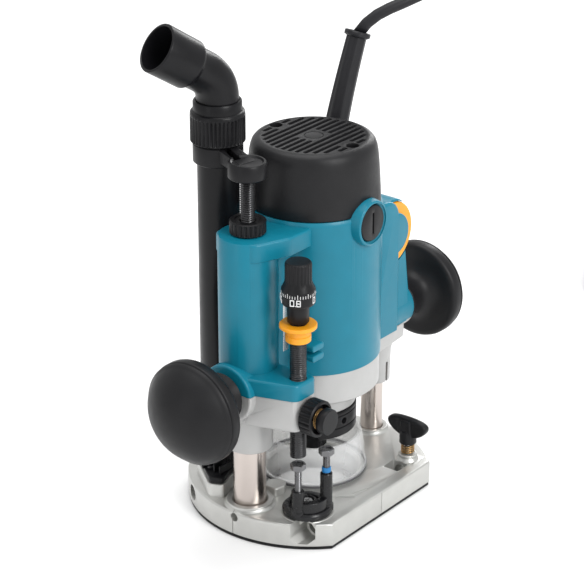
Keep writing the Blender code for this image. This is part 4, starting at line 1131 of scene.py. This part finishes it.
def make_lock_lever():
    hub = [(4.0, 12.2), (4.0, 21.2), (6.0, 21.2), (6.4, 21.8), (6.4, 26.8), (5.6, 27.5)]
    body = turned(hub, (LEFT_X, 0, 95), "Y")
    arm = [(LEFT_X + 4, 90.4, 4), (LEFT_X + 4, 99.6, 4), (-84, 101.0, 8)]
    arm += [(-100.4, 102, 5), (-100.4, 91.4, 4), (-84, 91.0, 8)]
    join(body, slab(rounded(arm, steps=8), 22.0, 27, "Y", edge=1.4, low_edge=0.8, steps=4))
    soften(body, 0.4, 32, 3)
    show(body, "column_lock_lever", "lock_lever", BLACK, ["lock_lever"], 40)


def make_switch():
    x, y, z = 60, 18.4, 162
    body = slab(circle((y, z), 6.4, 40), x - 5.1, x + 5.1, "X", edge=0.5)
    paddle = [(y - 1, z - 2.4, 0), (28.3, z - 1.4, 1.2), (28.3, z + 1.2, 1.2), (y - 1, z + 2.2, 0)]
    join(body, slab(rounded(paddle, steps=5), x - 4.9, x + 4.9, "X", edge=0.6))
    soften(body, 0.3, 32)
    show(body, "switch_rocker", "switch_lever", BLACK, ["switch_lever"], 40)


def make_shaft_lock():
    body = slab(band(CENTRE, 29.8, 24.7, -135, -45, 36), 51.2, 69.4, edge=1.2, low_edge=1.6, steps=4)
    join(body, slab(rectangle((-5, -28), (5, -19), 1.0), 60, 78, edge=0.4))
    cut(body, rod(2.3, 24, 40, (-3.5, 0, 62.5), "-Y", 40))
    for z in (58.0, 66.6):
        groove = [(29.1, z - 0.4), (31, z - 0.6), (31, z + 0.6), (29.1, z + 0.4)]
        cut(body, turned(groove, steps=128, closed=True))
    soften(body, 0.3, 34)
    show(body, "shaft_lock_pad", "shaft_lock", BLACK, ["shaft_lock"], 40)


def make_dial():
    flutes = 48
    profile = [(21.9, 11), (22.5, 11.7), (22.5, 15.3), (21.9, 16), (2.6, 16), (2.6, 18.6)]
    wave = grooved(flutes, 0.35, 11.6, 15.4, 2)
    body = turned(profile, (DIAL.x, 0, DIAL.z), "-Y", flutes * 8, wave=wave)
    show(body, "speed_wheel", "speed_dial", ORANGE, ["speed_dial"], 40)
    marks = []
    right = Vector((0, -1, 0))
    for k, character in enumerate("123456"):
        a = math.radians(96 - 40 * k)
        out = Vector((math.cos(a), 0, math.sin(a)))
        up = right.cross(out)
        foot = Vector((DIAL.x, -13.5, DIAL.z)) + out * 22.45 - up * 1.3
        marks += numeral(character, foot, right, up, out, 3.0, 0.6)
    show(merged(*marks), "speed_wheel_numerals", "speed_dial", BLACK, ())


def make_brush_cap(name, axis, sign):
    profile = [(5.0, 40.6), (5.0, 45.0), (12.2, 45.0), (12.3, 47.2), (12.0, 48.2), (11.2, 48.7), (0, 48.8)]
    body = turned(profile, BRUSHES, axis, 96)
    low, high = sorted((sign * 47.2, sign * 55.0))
    cut(body, block((-0.95, low, BRUSHES[2] - 7.4), (0.95, high, BRUSHES[2] + 7.4)))
    soften(body, 0.25, 34)
    show(body, name + "_disc", "head", CAP_BLACK, [name], 36)


def make_collet_nut():
    low, high = span("collet_nut")
    body = rod(9.7, low, high, steps=6)
    chamfer = [(8.3, low - 0.1), (9.9, low + 0.9), (9.9, high - 1.0), (8.3, high + 0.1)]
    keep_inside(body, turned(chamfer, steps=96))
    cut(body, rod(8.2, low + 2.2, 60), rod(4.3, 20, 40))
    show(body, "collet_nut_hexagon", "collet_nut", BLACK_STEEL, ["collet_nut"], 30)


# ---------------- cord


GUARD_BASE, GUARD_TOP = Vector((48.0, 25.0, 204.0)), Vector((74.0, 21.0, 303.0))
CORD_R = 4.0
COIL_CENTRE, COIL_R = (443.0, -10.0), 46.0
COIL_HEIGHT, COIL_TURNS, COIL_PITCH = 50.6, 6, 8.5
CORD_ROUTE = [
    (75.2, 20.5, 305.4),
    (81.2, 16.2, 313.6),
    (88.6, 9.6, 319.6),
    (98.5, 1.8, 324.4),
    (111.0, -5.8, 329.2),
    (130.0, -14.0, 334.5),
    (165.0, -24.5, 339.5),
    (213.0, -34.5, 337.0),
    (263.0, -43.0, 321.0),
    (307.0, -49.5, 289.0),
    (342.0, -54.5, 243.0),
    (368.0, -58.5, 190.0),
    (388.0, -61.5, 136.0),
    (400.0, -63.0, 102.0),
    (411.0, -64.0, 69.0),
    (422.0, -64.4, 41.0),
    (436.5, -64.6, 20.5),
    (456.0, -63.4, 8.0),
    (474.0, -56.6, 4.6),
]
# The plug lies on top of the coil, and the cord enters it here.
PLUG_ENTRY = Vector((COIL_CENTRE[0] + COIL_R, COIL_CENTRE[1] - 3.0, COIL_HEIGHT + 14.5))


def smooth(points, spacing):
    """Points at an even spacing along a Catmull-Rom curve through a route."""
    given = [Vector(p) for p in points]
    fine = []
    for i in range(len(given) - 1):
        a = given[max(i - 1, 0)]
        b, c = given[i], given[i + 1]
        d = given[min(i + 2, len(given) - 1)]
        for k in range(24):
            t = k / 24
            square = 2 * a - 5 * b + 4 * c - d
            cube = 3 * b - a - 3 * c + d
            fine.append(b + 0.5 * ((c - a) * t + square * t**2 + cube * t**3))
    fine.append(given[-1])
    total = sum((b - a).length for a, b in zip(fine, fine[1:]))
    count = max(2, round(total / spacing))
    evenly = [fine[0]]
    walked = 0.0
    target = total / count
    for a, b in zip(fine, fine[1:]):
        step = (b - a).length
        while walked + step >= target and len(evenly) < count:
            evenly.append(a.lerp(b, (target - walked) / step))
            target += total / count
        walked += step
    evenly.append(fine[-1])
    return evenly


def ease(share):
    share = min(1.0, max(0.0, share))
    return share * share * (3 - 2 * share)


def coil_points():
    """Turns stacked on each other, from the floor up, then a rise to the plug that lies on top."""
    first, settled, last, rise = -36, 60, 360 * COIL_TURNS - 4, 130
    points = []
    for degrees in range(first, last - 8, 12):
        radius = COIL_R + 9.0 * (1 - ease((degrees + 44) / (settled + 44)))
        height = CORD_R + 0.1 + COIL_PITCH * max(0, degrees - settled) / 360
        height += (PLUG_ENTRY.z - height) * ease((degrees - last + rise) / rise)
        points.append(Vector(around(COIL_CENTRE, radius, degrees, height)))
    return points + [PLUG_ENTRY]


def make_plug():
    """The plug along Y, its grip pinched at two sides, with two round pins."""
    profile = [(4.05, -0.5), (4.8, 0), (5.0, 1.2), (5.1, 3), (5.7, 3.6), (5.7, 5.4), (5.3, 6.0), (6.0, 6.6)]
    profile += [(6.0, 8.6), (5.6, 9.2), (6.6, 9.9), (6.6, 12.0), (6.9, 14), (9.0, 17), (12.3, 20)]
    profile += [(13.6, 22), (14.1, 24.6), (13.3, 29), (13.0, 33), (13.6, 37), (14.2, 40), (14.0, 42.6)]

    def pinch(a, radius, distance):
        return radius * (1 - 0.16 * abs(math.sin(a)) ** 6 * min(1, max(0, (distance - 18) / 8)))

    plug = turned(profile + [(12.9, 43.8), (0, 44)], PLUG_ENTRY, "Y", 96, wave=pinch)
    pin = rounded([(0, 43), (2.3, 43, 0.8), (2.3, 62.0, 1.0), (0, 63)], steps=5, closed=False)
    for side in (-9.5, 9.5):
        join(plug, turned(pin, PLUG_ENTRY + Vector((0, 0, side)), "Y", 32))
    return show(plug, "lead_plug", "base", BLACK, ["mains_plug"], 40)


def make_coil_tie():
    """A flat band round all the turns."""
    degrees = -135
    at = Vector(around(COIL_CENTRE, COIL_R, degrees))
    out = Vector(around(CENTRE, 1, degrees))
    along = Vector((-out.y, out.x, 0))
    outline = rectangle((-5.2, 0.1), (5.2, 54.4), 4, 6)
    built = bmesh.new()
    loops = []
    for shift, inset in ((-5, 0), (5, 0), (5, 0.9), (-5, 0.9)):
        loop = []
        for u, v in shrunk(outline, inset) if inset else outline:
            loop.append(built.verts.new(at + out * u + along * shift + Vector((0, 0, v))))
        loops.append(loop)
    bridge(built, loops + [loops[0]])
    show(object_from(built), "coil_tie", "base", SOFT_BLACK, (), 40)


def make_cord():
    path = smooth(smooth(CORD_ROUTE, 12.0)[:-1] + coil_points(), 9.0)
    flex = swept(path, [CORD_R] * len(path), 20)
    flex.name = "mains_flex"
    flex.data.name = "mains_flex"
    flex.data.materials.append(RUBBER)
    flex.data.shade_smooth()
    plug = make_plug()
    make_coil_tie()
    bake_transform(flex)
    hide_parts("power_cord", "cord_coil")


def make_guard():
    """The strain relief: an eight-sided tapered sleeve with a flared mouth."""
    bend = Vector((GUARD_BASE.x + 2.0, GUARD_BASE.y - 1.5, 240))
    path = []
    radii = []
    for i in range(29):
        t = i / 28
        path.append(GUARD_BASE * (1 - t) ** 2 + bend * 2 * t * (1 - t) + GUARD_TOP * t**2)
        radii.append((8.7 - 2.0 * t, CORD_R + 0.6))
    lean = (path[-1] - path[-2]).normalized()
    # Each is a distance past the sleeve's end, the outside there and the bore there.
    mouth = [(0.5, 7.6, 4.8), (1.0, 8.6, 5.4), (1.8, 8.9, 6.0), (3.2, 8.9, 6.3), (3.9, 8.6, 6.5)]
    mouth += [(4.2, 8.1, 6.9)]
    for reach, outer, bore in mouth:
        path.append(GUARD_TOP + lean * reach)
        radii.append((outer, bore))

    def section(a, radius):
        corner = 1.0 + 0.035 * math.cos(8 * a)
        return radius * (corner if 6.2 < radius < 8.71 else 1.0)

    body = swept(path, radii, 96, section=section)
    show(body, "strain_relief", "head", RUBBER, ["cord_guard"], 40)


# ---------------- CAD parts that stay as they are


def finish_inner_parts():
    kept = {
        "field_core": LAMINATION, "armature_core": LAMINATION, "commutator": COPPER, "fan": BLACK,
        "upper_bearing": STEEL, "lower_bearing": STEEL, "front_carbon_brush": BLACK_STEEL,
        "rear_carbon_brush": BLACK_STEEL, "left_bush": BRASS, "right_bush": BRASS, "speed_controller": BLACK,
        "return_spring": STEEL, "collet": STEEL, "spindle_shaft": STEEL,
    }
    for name, material in kept.items():
        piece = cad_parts[name]
        piece.data.materials.clear()
        piece.data.materials.append(material)
        piece.data.polygons.foreach_set("material_index", [0] * len(piece.data.polygons))


# ---------------- camera, floor and light


VIEW_BACK = Vector((-0.7192, -0.5626, 0.4077)).normalized()
EYE = Vector((-1114.4, -853.8, 774.9))
LIT = Vector((0, 0, 0.14))


def make_camera():
    data = bpy.data.cameras.new("camera")
    data.lens = 141.78
    data.sensor_width = 36.0
    data.clip_end = 20.0
    made = placed("camera", data)
    made.location = TO_OBJECT @ EYE
    made.rotation_euler = VIEW_BACK.to_track_quat("Z", "Y").to_euler()
    bpy.context.scene.camera = made


def make_floor():
    built = bmesh.new()
    bmesh.ops.create_grid(built, x_segments=40, y_segments=40, size=4.0)
    for vertex in built.verts:
        vertex.co.z = -0.0002
    floor = mesh_object(built, "floor")
    floor.data.materials.append(FLOOR)


def area_light(name, at, width, height, power):
    """A rectangular light that faces the middle of the tool. Its place is in metres."""
    data = bpy.data.lights.new(name, "AREA")
    data.shape = "RECTANGLE"
    data.size = width
    data.size_y = height
    data.energy = power
    made = placed(name, data)
    made.location = at
    made.rotation_euler = (Vector(at) - LIT).to_track_quat("Z", "Y").to_euler()


def make_light():
    scene = bpy.context.scene
    scene.world = bpy.data.worlds.new("studio")
    scene.world.use_nodes = True
    background = scene.world.node_tree.nodes["Background"]
    background.inputs["Color"].default_value = (1.0, 1.0, 1.0, 1.0)
    background.inputs["Strength"].default_value = 0.8
    area_light("key", (-0.3, -1.7, 1.3), 0.7, 1.2, 26)
    area_light("left_strip", (-1.9, 0.1, 0.7), 0.35, 1.4, 2)
    area_light("right_strip", (1.7, 0.5, 0.9), 0.35, 1.4, 9)
    area_light("top", (0.1, 0.2, 1.9), 1.4, 1.4, 22)
    scene.view_settings.view_transform = "Standard"
    scene.view_settings.look = "None"
    scene.view_settings.exposure = 0.0


# ---------------- build

make_camera()
make_floor()
make_light()
make_cord()
make_guard()
make_base()
make_sole()
make_columns()
make_dust_foot()
make_pipe()
make_tube_arm()
make_clear_guard()
make_turret()
for bolt_name, (bolt_angle, _) in BOLT_POSTS.items():
    make_stop_bolt(bolt_name, bolt_angle)
make_lock_patch()
make_stopper_pivot()
make_guide_clamp()
make_limit_nut()
make_collar()
make_elbow()
make_motor_housing()
make_head_casting()
make_motor_cap()
make_cap_screws()
make_handle("left_handle", "-X")
make_handle("right_handle", "X")
make_pole()
make_knob()
make_knob_print()
make_pointer()
make_scale_plate()
make_setting_nut()
make_feed_button()
make_lock_lever()
make_switch()
make_shaft_lock()
make_dial()
make_brush_cap("front_brush_cap", "-Y", -1)
make_brush_cap("rear_brush_cap", "Y", 1)
make_collet_nut()
finish_inner_parts()

bpy.context.view_layer.update()
